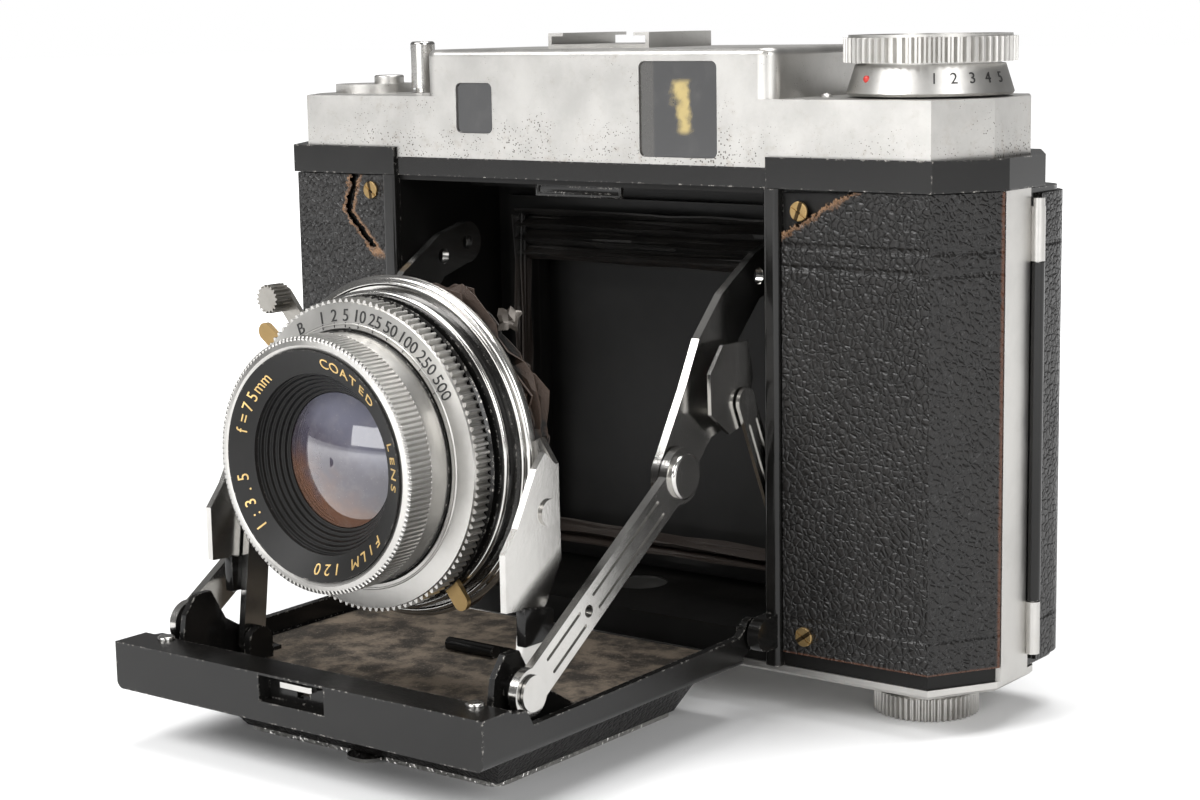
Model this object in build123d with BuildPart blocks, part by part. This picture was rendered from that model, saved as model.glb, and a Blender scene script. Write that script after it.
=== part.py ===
from build123d import *
import os
from math import asin, cos, radians, sin

# Folding roll-film camera, door open. Millimetres, +Z up, the lens looks along -Y.
# The origin is the tripod socket, in the middle of the bottom plate's underside.

os.makedirs("parts", exist_ok=True)

# Body
BODY_CX = 1.65           # the body is not quite centred on the lens axis
HALF_FLAT = 61.9         # half width of the flat front
HALF_WIDE = 68.2         # half width over the ends
FRONT_Y = -16.0          # leather face
BEVEL_Y = -5.6           # where an end bevel meets the side
SIDE_Y = 3.0             # where the back cover starts
REAR_Y = 16.5
PLATE_T = 1.45           # bottom plate
BAND_Z = 73.8            # top of the leather, underside of the black band
WING_Z = 78.4            # top of the band at the wings
MID_Z = 76.8             # top of the band over the opening
HOUSING_Z = 86.8         # top of the housing's wings
HUMP_Z = 94.3
HUMP_X = (-31.0, 36.8)
WING_X = (-37.6, 36.1)   # where the wings' band starts
SKIN_T = 0.8             # leather
SHELL_T = 1.2            # pressed housing and cover

# Bellows chamber and film chambers
CHAMBER_X = (-37.4, 36.4)
CHAMBER_Z = (6.0, 73.0)
CORE_Z = (3.2, 72.0)     # the part of the casting that the back cover closes round
FILM_WALL_Y = 10.5
FILM_WALL_T = 2.0
GATE_X = 28.0
GATE_Z = (10.0, 66.0)
SUPPLY_X = -51.4
TAKEUP_X = 54.4
FILM_FLOOR_Z = 3.5
FILM_ROOF_Z = 71.8
SPOOL_R = 12.0
SPOOL_CORE_R = 5.5

# Door
HINGE_Y = -19.5
HINGE_Z = 7.0
DOOR_HALF = 35.5
DOOR_TIP_Y = -82.7
DOOR_WALL = 1.2
FLOOR_Z = (2.7, 3.5)
RAIL_Z = 6.1
NOSE_Z = 9.2             # top of the raised front wall
PIN_R = 1.0
RUN = 0.06               # radial clearance of a running fit

# Front
LENS_Z = 38.1
LENS_AXIS = Axis((0, 0, LENS_Z), (0, 1, 0))
RING_Y = (-58.7, -56.9)
RING_R = 25.0

# Struts, right-hand side; the left-hand side is their mirror image
STRUT_FOOT = (-70.2, 9.7)
KNEE = (-34.6, 33.4)
STRUT_TOP = (-6.0, 62.0)
STAY_FOOT = (-11.3, 22.3)
LOWER_X = (32.4, 33.7)
UPPER_X = (30.8, 32.1)
PLATE_X = (34.0, 34.6)
STAY_X = (34.9, 35.5)

# Cradle that carries the lens standard
CRADLE_FOOT = (-63.2, 6.3)
CRADLE_TOP = (-60.0, 32.1)
LEG_X = (28.0, 29.0)
CRADLE_X = (26.4, 27.6)


def keep(piece, name):
    """Name a finished piece and write its file."""
    piece.part.label = name
    export_step(piece.part, f"parts/{name}.step")


def outline(plane, points):
    """A closed face through points on a plane."""
    with BuildSketch(plane, mode=Mode.PRIVATE) as face:
        with BuildLine():
            Polyline(*points, close=True)
        make_face()
    return face.sketch


def slot_shape(plane, start, end, width):
    """A round-ended bar from one point to another on a plane."""
    middle = ((start[0] + end[0]) / 2, (start[1] + end[1]) / 2)
    run = Vector(end[0] - start[0], end[1] - start[1])
    turn = Vector(1, 0).get_signed_angle(run, Vector(0, 0, 1))
    with BuildSketch(plane, mode=Mode.PRIVATE) as face:
        with Locations(Location((middle[0], middle[1], 0), (0, 0, turn))):
            SlotCenterToCenter(run.length, width)
    return face.sketch


def disc(plane, centre, radius, hole=0.0):
    """A round face, or a ring when it has a hole."""
    with BuildSketch(plane, mode=Mode.PRIVATE) as face:
        with Locations(centre):
            Circle(radius)
            if hole:
                Circle(hole, mode=Mode.SUBTRACT)
    return face.sketch


def toothed(plane, centre, outer, inner, count):
    """A disc with pointed teeth, for serrated and knurled edges."""
    step = 360 / count
    points = []
    for tooth in range(count):
        for share, radius in ((0.0, outer), (0.25, outer), (0.5, inner), (0.75, inner)):
            angle = radians((tooth + share) * step)
            points.append((centre[0] + radius * cos(angle), centre[1] + radius * sin(angle)))
    return outline(plane, points)


def across(x):
    """Plane of constant x. Sketch axes are y and z; extrusion goes to +X."""
    return Plane.YZ.offset(x)


def facing(y):
    """Plane of constant y. Sketch axes are x and z; extrusion goes to -Y."""
    return Plane.XZ.offset(-y)


def block(low, high):
    """Arguments of a box between two corners, as its centre and its sides."""
    centre = tuple((a + b) / 2 for a, b in zip(low, high))
    sides = tuple(b - a for a, b in zip(low, high))
    return centre, sides


def box_between(low, high, mode=Mode.ADD):
    """A box between two corners, in the part being built."""
    centre, sides = block(low, high)
    with Locations(centre):
        Box(*sides, mode=mode)


def turned(points):
    """A piece turned about the lens axis from (y, radius) points."""
    with BuildPart() as piece:
        with BuildSketch(Plane.YZ):
            with BuildLine():
                Polyline(*[(y, LENS_Z + radius) for y, radius in points], close=True)
            make_face()
        revolve(axis=LENS_AXIS)
    return piece


def front_plan(inset, rear, side_inset=0.0):
    """Plan of the body's front half: flat front, bevelled ends, straight back."""
    flat = HALF_FLAT - inset * 0.55
    wide = HALF_WIDE - side_inset
    return [
        (BODY_CX - flat, FRONT_Y + inset),
        (BODY_CX + flat, FRONT_Y + inset),
        (BODY_CX + wide, BEVEL_Y),
        (BODY_CX + wide, rear),
        (BODY_CX - wide, rear),
        (BODY_CX - wide, BEVEL_Y),
    ]


def full_plan(inset, grow=0.0):
    """Plan of the whole body with bevels at all four corners."""
    flat = HALF_FLAT - inset * 0.55 + grow
    wide = HALF_WIDE - inset + grow
    rear = REAR_Y - inset
    return [
        (BODY_CX - flat, FRONT_Y + inset),
        (BODY_CX + flat, FRONT_Y + inset),
        (BODY_CX + wide, BEVEL_Y),
        (BODY_CX + wide, -BEVEL_Y),
        (BODY_CX + flat, rear),
        (BODY_CX - flat, rear),
        (BODY_CX - wide, -BEVEL_Y),
        (BODY_CX - wide, BEVEL_Y),
    ]


# ---------------------------------------------------------------- body shell

SPOOL_HOLE_R = 2.6
BUSH_R = 4.6
SOCKET_R = 3.1
SOCKET_LEN = 5.0
CATCH_SLOT = ((-4, FRONT_Y + 1.6, 72.9), (4, FRONT_Y + 3.0, BAND_Z))

with BuildPart() as body_casting:
    extrude(outline(Plane.XY.offset(PLATE_T), front_plan(SKIN_T, SIDE_Y, SKIN_T)), amount=BAND_Z - PLATE_T)
    # the middle reaches back to the film plane, inside the back cover
    low = (CHAMBER_X[0] - 2, SIDE_Y, CORE_Z[0])
    high = (CHAMBER_X[1] + 2, FILM_WALL_Y + FILM_WALL_T, CORE_Z[1])
    box_between(low, high)
    # bellows chamber, open to the front
    for low_y, high_y, top in ((FRONT_Y, SIDE_Y, CHAMBER_Z[1]), (SIDE_Y, FILM_WALL_Y, CORE_Z[1] - 1.2)):
        box_between((CHAMBER_X[0], low_y, CHAMBER_Z[0]), (CHAMBER_X[1], high_y, top), Mode.SUBTRACT)
    # film aperture
    box_between(
        (-GATE_X, FILM_WALL_Y, GATE_Z[0]), (GATE_X, FILM_WALL_Y + FILM_WALL_T, GATE_Z[1]), Mode.SUBTRACT
    )
    # film chambers, open to the back
    for side, inner, spool_x in ((1, CHAMBER_X[1] + 2, TAKEUP_X), (-1, CHAMBER_X[0] - 1.2, SUPPLY_X)):
        chamber = [
            (inner, -13.4),
            (spool_x + side * 6.0, -13.4),
            (spool_x + side * 12.9, -5.0),
            (spool_x + side * 12.9, SIDE_Y + 0.1),
            (inner, SIDE_Y + 0.1),
        ]
        floor = Plane.XY.offset(FILM_FLOOR_Z)
        extrude(outline(floor, chamber), amount=FILM_ROOF_Z - FILM_FLOOR_Z, mode=Mode.SUBTRACT)
        extrude(disc(Plane.XY, (spool_x, 0), SPOOL_HOLE_R), amount=FILM_FLOOR_Z, mode=Mode.SUBTRACT)
    extrude(disc(Plane.XY.offset(FILM_ROOF_Z - 1), (TAKEUP_X, 0), SPOOL_HOLE_R), amount=5, mode=Mode.SUBTRACT)
    extrude(disc(Plane.XY, (0, 0), BUSH_R), amount=CHAMBER_Z[0], mode=Mode.SUBTRACT)
    # stud that holds the supply spool's upper end
    extrude(disc(Plane.XY.offset(FILM_ROOF_Z - 3.4), (SUPPLY_X, 0), 2.4), amount=3.4)
    # slot in the opening's upper lip, where the door's latch hooks in
    box_between(*CATCH_SLOT, Mode.SUBTRACT)
keep(body_casting, "body_casting")

with BuildPart() as tripod_bush:
    extrude(disc(Plane.XY, (0, 0), BUSH_R), amount=CHAMBER_Z[0] - 0.2)
    extrude(disc(Plane.XY, (0, 0), SOCKET_R), amount=SOCKET_LEN, mode=Mode.SUBTRACT)
keep(tripod_bush, "tripod_bush")

with BuildPart() as bottom_plate:
    extrude(outline(Plane.XY, full_plan(0.4)), amount=PLATE_T)
    chamfer(bottom_plate.faces().sort_by(Axis.Z)[0].outer_wire().edges(), length=0.5)
    for spool_x in (SUPPLY_X, TAKEUP_X):
        extrude(disc(Plane.XY, (spool_x, 0), SPOOL_HOLE_R), amount=PLATE_T, mode=Mode.SUBTRACT)
    extrude(disc(Plane.XY, (0, 0), BUSH_R), amount=PLATE_T, mode=Mode.SUBTRACT)
keep(bottom_plate, "bottom_plate")

LEATHER_Z = (3.7, 73.6)
POST_X = {"left": (-40.1, -37.4), "right": (35.8, 38.5)}


with BuildPart() as front_leather:
    for side, inner in ((-1, POST_X["left"][0] - 0.2), (1, POST_X["right"][1] + 0.2)):
        flat = BODY_CX + side * HALF_FLAT
        wide = BODY_CX + side * HALF_WIDE
        step = side * SKIN_T
        face = [
            (inner, FRONT_Y),
            (flat, FRONT_Y),
            (wide, BEVEL_Y - 0.1),
            (wide - step, BEVEL_Y - 0.1),
            (flat - step * 0.55, FRONT_Y + SKIN_T),
            (inner, FRONT_Y + SKIN_T),
        ]
        extrude(outline(Plane.XY.offset(LEATHER_Z[0]), face), amount=LEATHER_Z[1] - LEATHER_Z[0])
keep(front_leather, "front_leather")

EAR_X = {-1: (-39.6, -37.6), 1: (36.2, 38.2)}
EAR_R = 2.6

# the rounded black uprights at each side of the opening, with the door's hinge ears and pins
with BuildPart() as opening_posts:
    for low, high in POST_X.values():
        box_between((low, FRONT_Y - 0.9, PLATE_T), (high, FRONT_Y + SKIN_T, BAND_Z))
    uprights = opening_posts.edges().filter_by(Axis.Z).group_by(Axis.Y)[0]
    fillet(uprights, radius=0.8)
    for side, (low, high) in EAR_X.items():
        ear = [
            (HINGE_Y, HINGE_Z - EAR_R),
            (FRONT_Y, HINGE_Z - EAR_R),
            (FRONT_Y, HINGE_Z + EAR_R),
            (HINGE_Y, HINGE_Z + EAR_R),
        ]
        extrude(outline(across(low), ear), amount=high - low)
        extrude(disc(across(low), (HINGE_Y, HINGE_Z), EAR_R), amount=high - low)
        start = low if side < 0 else DOOR_HALF - 2.4
        end = -DOOR_HALF + 2.4 if side < 0 else high
        extrude(disc(across(start), (HINGE_Y, HINGE_Z), PIN_R), amount=end - start)
keep(opening_posts, "opening_posts")

# polished strips at the body's ends, the right one with the back cover's hinge knuckles and pin
STRIP_T = 0.9
COVER_PIN = (BODY_CX + HALF_WIDE + 0.65, SIDE_Y + 0.3)
KNUCKLE_R = 1.1
KNUCKLES = ((4.0, 12.0), (63.0, 71.0))   # on the body; the cover's long one lies between
PIN_THIN_R = 0.55
with BuildPart() as side_strips:
    for side in (-1, 1):
        face_x = BODY_CX + side * (HALF_WIDE - SKIN_T)
        centre, sides = block(
            (-STRIP_T / 2, BEVEL_Y + 0.1, PLATE_T), (STRIP_T / 2, SIDE_Y - 0.1, LEATHER_Z[1] + 0.1)
        )
        with Locations((face_x + side * STRIP_T / 2, centre[1], centre[2])):
            Box(*sides)
    for low, high in ((KNUCKLES[0][1], KNUCKLES[1][0]), (KNUCKLES[1][1], BAND_Z)):
        relief = disc(Plane.XY.offset(low), COVER_PIN, KNUCKLE_R + 0.2)
        extrude(relief, amount=high - low, mode=Mode.SUBTRACT)
    for low, high in KNUCKLES:
        extrude(disc(Plane.XY.offset(low), COVER_PIN, KNUCKLE_R), amount=high - low)
    extrude(disc(Plane.XY.offset(KNUCKLES[0][0]), COVER_PIN, PIN_THIN_R), amount=68.0)
    extrude(disc(Plane.XY.offset(KNUCKLES[1][1]), COVER_PIN, 1.0), amount=1.2)
keep(side_strips, "side_strips")

BRASS_SCREWS = ((41.8, 70.6), (42.5, 6.6), (-43.2, 71.1), (-43.2, 6.6))
with BuildPart() as brass_screws:
    for x, z in BRASS_SCREWS:
        extrude(disc(facing(FRONT_Y), (x, z), 1.5), amount=0.45)
        fillet(brass_screws.faces().filter_by(Axis.Y).sort_by(Axis.Y)[0].outer_wire().edges(), radius=0.2)
    for x, z in BRASS_SCREWS:
        with Locations((x, FRONT_Y - 0.45, z)):
            Box(3.4, 0.4, 0.35, rotation=(0, 35, 0), mode=Mode.SUBTRACT)
keep(brass_screws, "brass_screws")

# ---------------------------------------------------------------- top

HOUSING_X = (-57.8, 63.4)
HOUSING_SIDE = (-64.0, 68.0)
HOUSING_REAR = 14.0


def housing_plan(inset):
    """Plan of the top housing."""
    return [
        (HOUSING_X[0] + inset * 0.6, FRONT_Y + 0.3 + inset),
        (HOUSING_X[1] - inset * 0.6, FRONT_Y + 0.3 + inset),
        (HOUSING_SIDE[1] - inset, BEVEL_Y),
        (HOUSING_SIDE[1] - inset, -BEVEL_Y),
        (HOUSING_X[1] - inset * 0.6, HOUSING_REAR - inset),
        (HOUSING_X[0] + inset * 0.6, HOUSING_REAR - inset),
        (HOUSING_SIDE[0] + inset, -BEVEL_Y),
        (HOUSING_SIDE[0] + inset, BEVEL_Y),
    ]


with BuildPart() as top_band:
    extrude(outline(Plane.XY.offset(BAND_Z), full_plan(-0.4, 0.2)), amount=WING_Z - BAND_Z)
    # hollow from above
    extrude(outline(Plane.XY.offset(BAND_Z + 1.2), housing_plan(1.6)), amount=WING_Z, mode=Mode.SUBTRACT)
    # the front edge is lower and set back over the opening
    box_between((WING_X[0], FRONT_Y - 2, MID_Z), (WING_X[1], FRONT_Y + 2, WING_Z + 1), Mode.SUBTRACT)
    box_between((WING_X[0], FRONT_Y - 2, BAND_Z - 1), (WING_X[1], FRONT_Y + 0.2, WING_Z + 1), Mode.SUBTRACT)
    extrude(disc(Plane.XY.offset(BAND_Z - 1), (TAKEUP_X, 0), SPOOL_HOLE_R), amount=5, mode=Mode.SUBTRACT)
    extrude(disc(Plane.XY.offset(BAND_Z - 1), (-45.0, 0), 1.6), amount=5, mode=Mode.SUBTRACT)
keep(top_band, "top_band")

def hump_plan(inset):
    """Plan of the finder hump."""
    return [
        (HUMP_X[0] + inset, FRONT_Y + 0.3 + inset),
        (HUMP_X[1] - inset, FRONT_Y + 0.3 + inset),
        (HUMP_X[1] - inset, HOUSING_REAR - inset),
        (HUMP_X[0] + inset, HOUSING_REAR - inset),
    ]


RANGE_WINDOW = ((-24.2, 80.9), (-16.6, 89.0))
FINDER_WINDOW = ((12.7, 77.9), (27.1, 92.4))
EYEPIECE = (20.0, 85.0)
BUTTON_XY = (-45.0, 0.0)
WHEEL_XY = (-8.0, 10.0)
WHEEL_R = 9.0
WHEEL_Z = (79.0, 82.0)

with BuildPart() as top_housing:
    extrude(outline(Plane.XY.offset(WING_Z), housing_plan(0)), amount=HOUSING_Z - WING_Z)
    extrude(outline(Plane.XY.offset(WING_Z), hump_plan(0)), amount=HUMP_Z - WING_Z)
    # tall vertical corners of the hump are well rounded, its top edge less so
    corners = top_housing.edges().filter_by(Axis.Z).filter_by_position(Axis.Z, HOUSING_Z, HUMP_Z)
    fillet(corners, radius=2.4)
    fillet(top_housing.faces().sort_by(Axis.Z)[-1].outer_wire().edges(), radius=1.1)
    # front skirt over the opening
    box_between((WING_X[0] + 0.2, FRONT_Y + 0.3, MID_Z), (WING_X[1] - 0.2, FRONT_Y + 1.6, WING_Z))
    # hollow
    extrude(
        outline(Plane.XY.offset(WING_Z), housing_plan(SHELL_T)),
        amount=HOUSING_Z - WING_Z - SHELL_T,
        mode=Mode.SUBTRACT,
    )
    extrude(
        outline(Plane.XY.offset(WING_Z), hump_plan(SHELL_T)),
        amount=HUMP_Z - WING_Z - SHELL_T,
        mode=Mode.SUBTRACT,
    )
    for low, high in (RANGE_WINDOW, FINDER_WINDOW):
        with BuildSketch(facing(FRONT_Y + 4)):
            with Locations(((low[0] + high[0]) / 2, (low[1] + high[1]) / 2)):
                RectangleRounded(high[0] - low[0], high[1] - low[1], 1.0)
        extrude(amount=8, mode=Mode.SUBTRACT)
    extrude(disc(facing(HOUSING_REAR + 1), EYEPIECE, 4.0), amount=4, mode=Mode.SUBTRACT)
    # the focus wheel's slot at the back
    box_between(
        (WHEEL_XY[0] - 10, HOUSING_REAR - 3, WHEEL_Z[0] - 0.4),
        (WHEEL_XY[0] + 10, HOUSING_REAR + 1, WHEEL_Z[1] + 0.4),
        Mode.SUBTRACT,
    )
    extrude(disc(Plane.XY.offset(HOUSING_Z - 3), (TAKEUP_X, 0), SPOOL_HOLE_R), amount=5, mode=Mode.SUBTRACT)
    extrude(disc(Plane.XY.offset(HOUSING_Z - 3), BUTTON_XY, 2.3), amount=5, mode=Mode.SUBTRACT)
    # half-round index pin beside the counter
    with BuildPart(Plane.XY.offset(HOUSING_Z), mode=Mode.PRIVATE) as index_pin:
        Sphere(1.2, arc_size1=0)
    with Locations((39.6, -5.0, 0)):
        add(index_pin.part)
keep(top_housing, "top_housing")


with BuildPart() as finder_windows:
    for low, high in (RANGE_WINDOW, FINDER_WINDOW):
        with BuildSketch(facing(FRONT_Y + 1.45)):
            with Locations(((low[0] + high[0]) / 2, (low[1] + high[1]) / 2)):
                RectangleRounded(high[0] - low[0] - 0.1, high[1] - low[1] - 0.1, 0.9)
        extrude(amount=0.8)
keep(finder_windows, "finder_windows")

with BuildPart() as eyepiece:
    extrude(disc(facing(HOUSING_REAR + 1.2), EYEPIECE, 4.9, 2.6), amount=1.2)
    extrude(disc(facing(HOUSING_REAR), EYEPIECE, 3.95, 2.6), amount=1.6)
    extrude(disc(facing(HOUSING_REAR - 0.6), EYEPIECE, 2.7), amount=0.8)
keep(eyepiece, "eyepiece")

SHOE_CX = -0.5
SHOE_HALF = 8.5
with BuildPart() as accessory_shoe:
    shoe = [
        (-10.0, HUMP_Z), (10.0, HUMP_Z), (10.0, HUMP_Z + 2.4), (7.0, HUMP_Z + 2.4),
        (7.0, HUMP_Z + 1.9), (9.3, HUMP_Z + 1.9), (9.3, HUMP_Z + 0.6), (-9.3, HUMP_Z + 0.6),
        (-9.3, HUMP_Z + 1.9), (-7.0, HUMP_Z + 1.9), (-7.0, HUMP_Z + 2.4), (-10.0, HUMP_Z + 2.4),
    ]
    extrude(outline(facing(SHOE_HALF), [(SHOE_CX + x, z) for x, z in shoe]), amount=2 * SHOE_HALF)
keep(accessory_shoe, "accessory_shoe")

# release plate, a thin disc with a boss, and the upright release button beside it
PLATE_XY = (-56.5, 0.0)
with BuildPart() as release_plate:
    extrude(disc(Plane.XY.offset(HOUSING_Z), PLATE_XY, 6.8), amount=1.5)
    extrude(disc(Plane.XY.offset(HOUSING_Z), (-53.0, 0), 2.6), amount=3.0)
    fillet(release_plate.edges().filter_by(GeomType.CIRCLE).group_by(Axis.Z)[-1], radius=0.4)
    extrude(disc(Plane.XY.offset(HOUSING_Z), BUTTON_XY, 2.4), amount=3, mode=Mode.SUBTRACT)
keep(release_plate, "release_plate")

with BuildPart() as release_button:
    extrude(disc(Plane.XY.offset(HOUSING_Z + 0.8), BUTTON_XY, 2.1), amount=7.9)
    fillet(release_button.faces().sort_by(Axis.Z)[-1].outer_wire().edges(), radius=0.5)
    extrude(disc(Plane.XY.offset(HOUSING_Z + 8.0), BUTTON_XY, 1.2), amount=1.0, mode=Mode.SUBTRACT)
    extrude(disc(Plane.XY.offset(77.6), BUTTON_XY, 1.4), amount=HOUSING_Z + 0.8 - 77.6)
keep(release_button, "release_button")

KNOB_XY = (TAKEUP_X, 0.0)
with BuildPart() as advance_knob:
    extrude(toothed(Plane.XY.offset(91.9), KNOB_XY, 12.75, 12.1, 58), amount=3.6)
    extrude(disc(Plane.XY.offset(95.5), KNOB_XY, 12.0), amount=0.4)
    extrude(disc(Plane.XY.offset(95.3), KNOB_XY, 10.6), amount=0.7, mode=Mode.SUBTRACT)
    extrude(disc(Plane.XY.offset(91.6), KNOB_XY, 10.4), amount=0.3)
    extrude(disc(Plane.XY.offset(70.0), KNOB_XY, 2.5), amount=21.6)
    extrude(disc(Plane.XY.offset(68.0), KNOB_XY, 1.8), amount=2.0)
keep(advance_knob, "advance_knob")

with BuildPart() as counter_skirt:
    with BuildSketch(Plane.XZ):
        with BuildLine():
            Polyline(
                (TAKEUP_X + 2.52, 87.1), (TAKEUP_X + 12.0, 87.1), (TAKEUP_X + 12.3, 87.5),
                (TAKEUP_X + 11.0, 91.6), (TAKEUP_X + 2.52, 91.6), close=True,
            )
        make_face()
    revolve(axis=Axis((TAKEUP_X, 0, 0), (0, 0, 1)))
keep(counter_skirt, "counter_skirt")

# ---------------------------------------------------------------- spools and their knobs

SPOOL_Z = (4.3, 70.9)


def spool(x, top_bore):
    """Roll-film spool: core with two flanges, bored at both ends."""
    with BuildPart() as reel:
        extrude(disc(Plane.XY.offset(SPOOL_Z[0]), (x, 0), SPOOL_CORE_R), amount=SPOOL_Z[1] - SPOOL_Z[0])
        for z in (SPOOL_Z[0], SPOOL_Z[1] - 0.8):
            extrude(disc(Plane.XY.offset(z), (x, 0), SPOOL_R), amount=0.8)
        extrude(disc(Plane.XY.offset(SPOOL_Z[0]), (x, 0), 2.4), amount=4, mode=Mode.SUBTRACT)
        bore = disc(Plane.XY.offset(SPOOL_Z[1] - top_bore), (x, 0), 2.5)
        extrude(bore, amount=top_bore, mode=Mode.SUBTRACT)
    return reel


# the winding knob's shaft is keyed into the take-up spool
with BuildPart() as takeup_spool:
    extrude(disc(Plane.XY.offset(SPOOL_Z[0]), (TAKEUP_X, 0), SPOOL_CORE_R), amount=SPOOL_Z[1] - SPOOL_Z[0])
    for z in (SPOOL_Z[0], SPOOL_Z[1] - 0.8):
        extrude(disc(Plane.XY.offset(z), (TAKEUP_X, 0), SPOOL_R), amount=0.8)
    extrude(disc(Plane.XY.offset(SPOOL_Z[0]), (TAKEUP_X, 0), 2.4), amount=4, mode=Mode.SUBTRACT)
    extrude(disc(Plane.XY.offset(70.0), (TAKEUP_X, 0), 2.5), amount=1, mode=Mode.SUBTRACT)
    extrude(disc(Plane.XY.offset(68.0), (TAKEUP_X, 0), 1.8), amount=2, mode=Mode.SUBTRACT)
keep(takeup_spool, "takeup_spool")
keep(spool(SUPPLY_X, 3.0), "supply_spool")

KNOB_BOTTOM_Z = -6.3


def spool_knob(x):
    """Pull-down spool knob under the body with the pin that holds the spool."""
    with BuildPart() as knob:
        extrude(toothed(Plane.XY.offset(KNOB_BOTTOM_Z), (x, 0), 8.0, 7.5, 52), amount=3.4)
        extrude(disc(Plane.XY.offset(KNOB_BOTTOM_Z + 3.4), (x, 0), 6.2), amount=-0.2 - KNOB_BOTTOM_Z - 3.4)
        extrude(disc(Plane.XY.offset(-0.2), (x, 0), 2.5), amount=4.2)
        extrude(disc(Plane.XY.offset(4.0), (x, 0), 2.3), amount=3.0)
    return knob


keep(spool_knob(SUPPLY_X), "spool_knob_left")
keep(spool_knob(TAKEUP_X), "spool_knob_right")

# ---------------------------------------------------------------- film plane

with BuildPart() as film_gate_frame:
    box_between((-33, 7.8, 8.0), (33, 9.8, 69.0))
    box_between((-26.5, 7.0, 12.0), (26.5, 10.0, 64.5), Mode.SUBTRACT)
keep(film_gate_frame, "film_gate_frame")

with BuildPart() as bellows_rear:
    box_between((-29.5, 3.4, 9.5), (29.5, 7.8, 67.5))
    box_between((-26.0, 3.0, 12.5), (26.0, 8.0, 64.5), Mode.SUBTRACT)
keep(bellows_rear, "bellows_rear")

with BuildPart() as focus_wheel:
    rim = toothed(Plane.XY.offset(WHEEL_Z[0]), WHEEL_XY, WHEEL_R, WHEEL_R - 0.5, 60)
    extrude(rim, amount=WHEEL_Z[1] - WHEEL_Z[0])
    extrude(disc(Plane.XY.offset(75.2), WHEEL_XY, 2.0), amount=10.0)
keep(focus_wheel, "focus_wheel")

# ---------------------------------------------------------------- back cover

COVER_Z = (1.7, 73.5)
COVER_SIDE = HALF_WIDE + 0.3


def cover_plan(inset):
    """Plan of the back cover: straight sides, round rear corners added later."""
    return [
        (BODY_CX - COVER_SIDE + inset, SIDE_Y + 0.15),
        (BODY_CX - COVER_SIDE + inset, REAR_Y - inset),
        (BODY_CX + COVER_SIDE - inset, REAR_Y - inset),
        (BODY_CX + COVER_SIDE - inset, SIDE_Y + 0.15),
    ]


RED_WINDOW = (22.0, 38.0)
RAIL_BOXES = [
    ((RED_WINDOW[0] - 7, REAR_Y - SKIN_T, z), (RED_WINDOW[0] + 19, REAR_Y + 1.2, z + 1.4))
    for z in (RED_WINDOW[1] - 7.2, RED_WINDOW[1] + 5.8)
]
with BuildPart() as back_cover:
    extrude(outline(Plane.XY.offset(COVER_Z[0]), cover_plan(SKIN_T)), amount=COVER_Z[1] - COVER_Z[0])
    fillet(back_cover.edges().filter_by(Axis.Z).group_by(Axis.Y)[-1], radius=5.2)
    extrude(
        outline(Plane.XY.offset(COVER_Z[0] + 1.2), cover_plan(SKIN_T + SHELL_T)),
        amount=COVER_Z[1] - COVER_Z[0] - 2.4,
        mode=Mode.SUBTRACT,
    )
    extrude(disc(facing(REAR_Y + 1), RED_WINDOW, 4.2), amount=4, mode=Mode.SUBTRACT)
    for low, high in KNUCKLES:
        relief = disc(Plane.XY.offset(low - 0.2), COVER_PIN, KNUCKLE_R + 0.2)
        extrude(relief, amount=high - low + 0.4, mode=Mode.SUBTRACT)
    extrude(disc(Plane.XY.offset(KNUCKLES[0][1] + 0.2), COVER_PIN, KNUCKLE_R), amount=50.6)
    low = (COVER_PIN[0] - 2.0, SIDE_Y + 0.15, KNUCKLES[0][1] + 0.2)
    box_between(low, (COVER_PIN[0] - 0.3, SIDE_Y + 1.5, KNUCKLES[1][0] - 0.2))
    extrude(disc(Plane.XY, (0, 0), BUSH_R + 0.4), amount=CORE_Z[0], mode=Mode.SUBTRACT)
    extrude(disc(Plane.XY.offset(COVER_Z[0]), COVER_PIN, PIN_THIN_R + RUN), amount=80, mode=Mode.SUBTRACT)
    # rails for the red window's shutter
    for low, high in RAIL_BOXES:
        box_between(low, high)
keep(back_cover, "back_cover")

with BuildPart() as back_leather:
    extrude(outline(Plane.XY.offset(COVER_Z[0] + 0.8), cover_plan(0)), amount=COVER_Z[1] - COVER_Z[0] - 1.6)
    fillet(back_leather.edges().filter_by(Axis.Z).group_by(Axis.Y)[-1], radius=6.0)
    with BuildPart(mode=Mode.PRIVATE) as core:
        extrude(outline(Plane.XY, cover_plan(SKIN_T)), amount=BAND_Z)
        fillet(core.edges().filter_by(Axis.Z).group_by(Axis.Y)[-1], radius=5.2)
        box_between((-BAND_Z, SIDE_Y - 2, 0), (BAND_Z, SIDE_Y + 2.2, BAND_Z))
    add(core.part, mode=Mode.SUBTRACT)
    extrude(disc(facing(REAR_Y + 1), RED_WINDOW, 4.6), amount=4, mode=Mode.SUBTRACT)
    for low, high in RAIL_BOXES:
        box_between(low, high, Mode.SUBTRACT)
keep(back_leather, "back_leather")

with BuildPart() as pressure_plate:
    box_between((-30, 12.9, 10), (30, 13.7, 66))
    fillet(pressure_plate.edges().filter_by(Axis.Y), radius=2.0)
    extrude(disc(facing(REAR_Y), RED_WINDOW, 5.0), amount=6, mode=Mode.SUBTRACT)
keep(pressure_plate, "pressure_plate")

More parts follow.
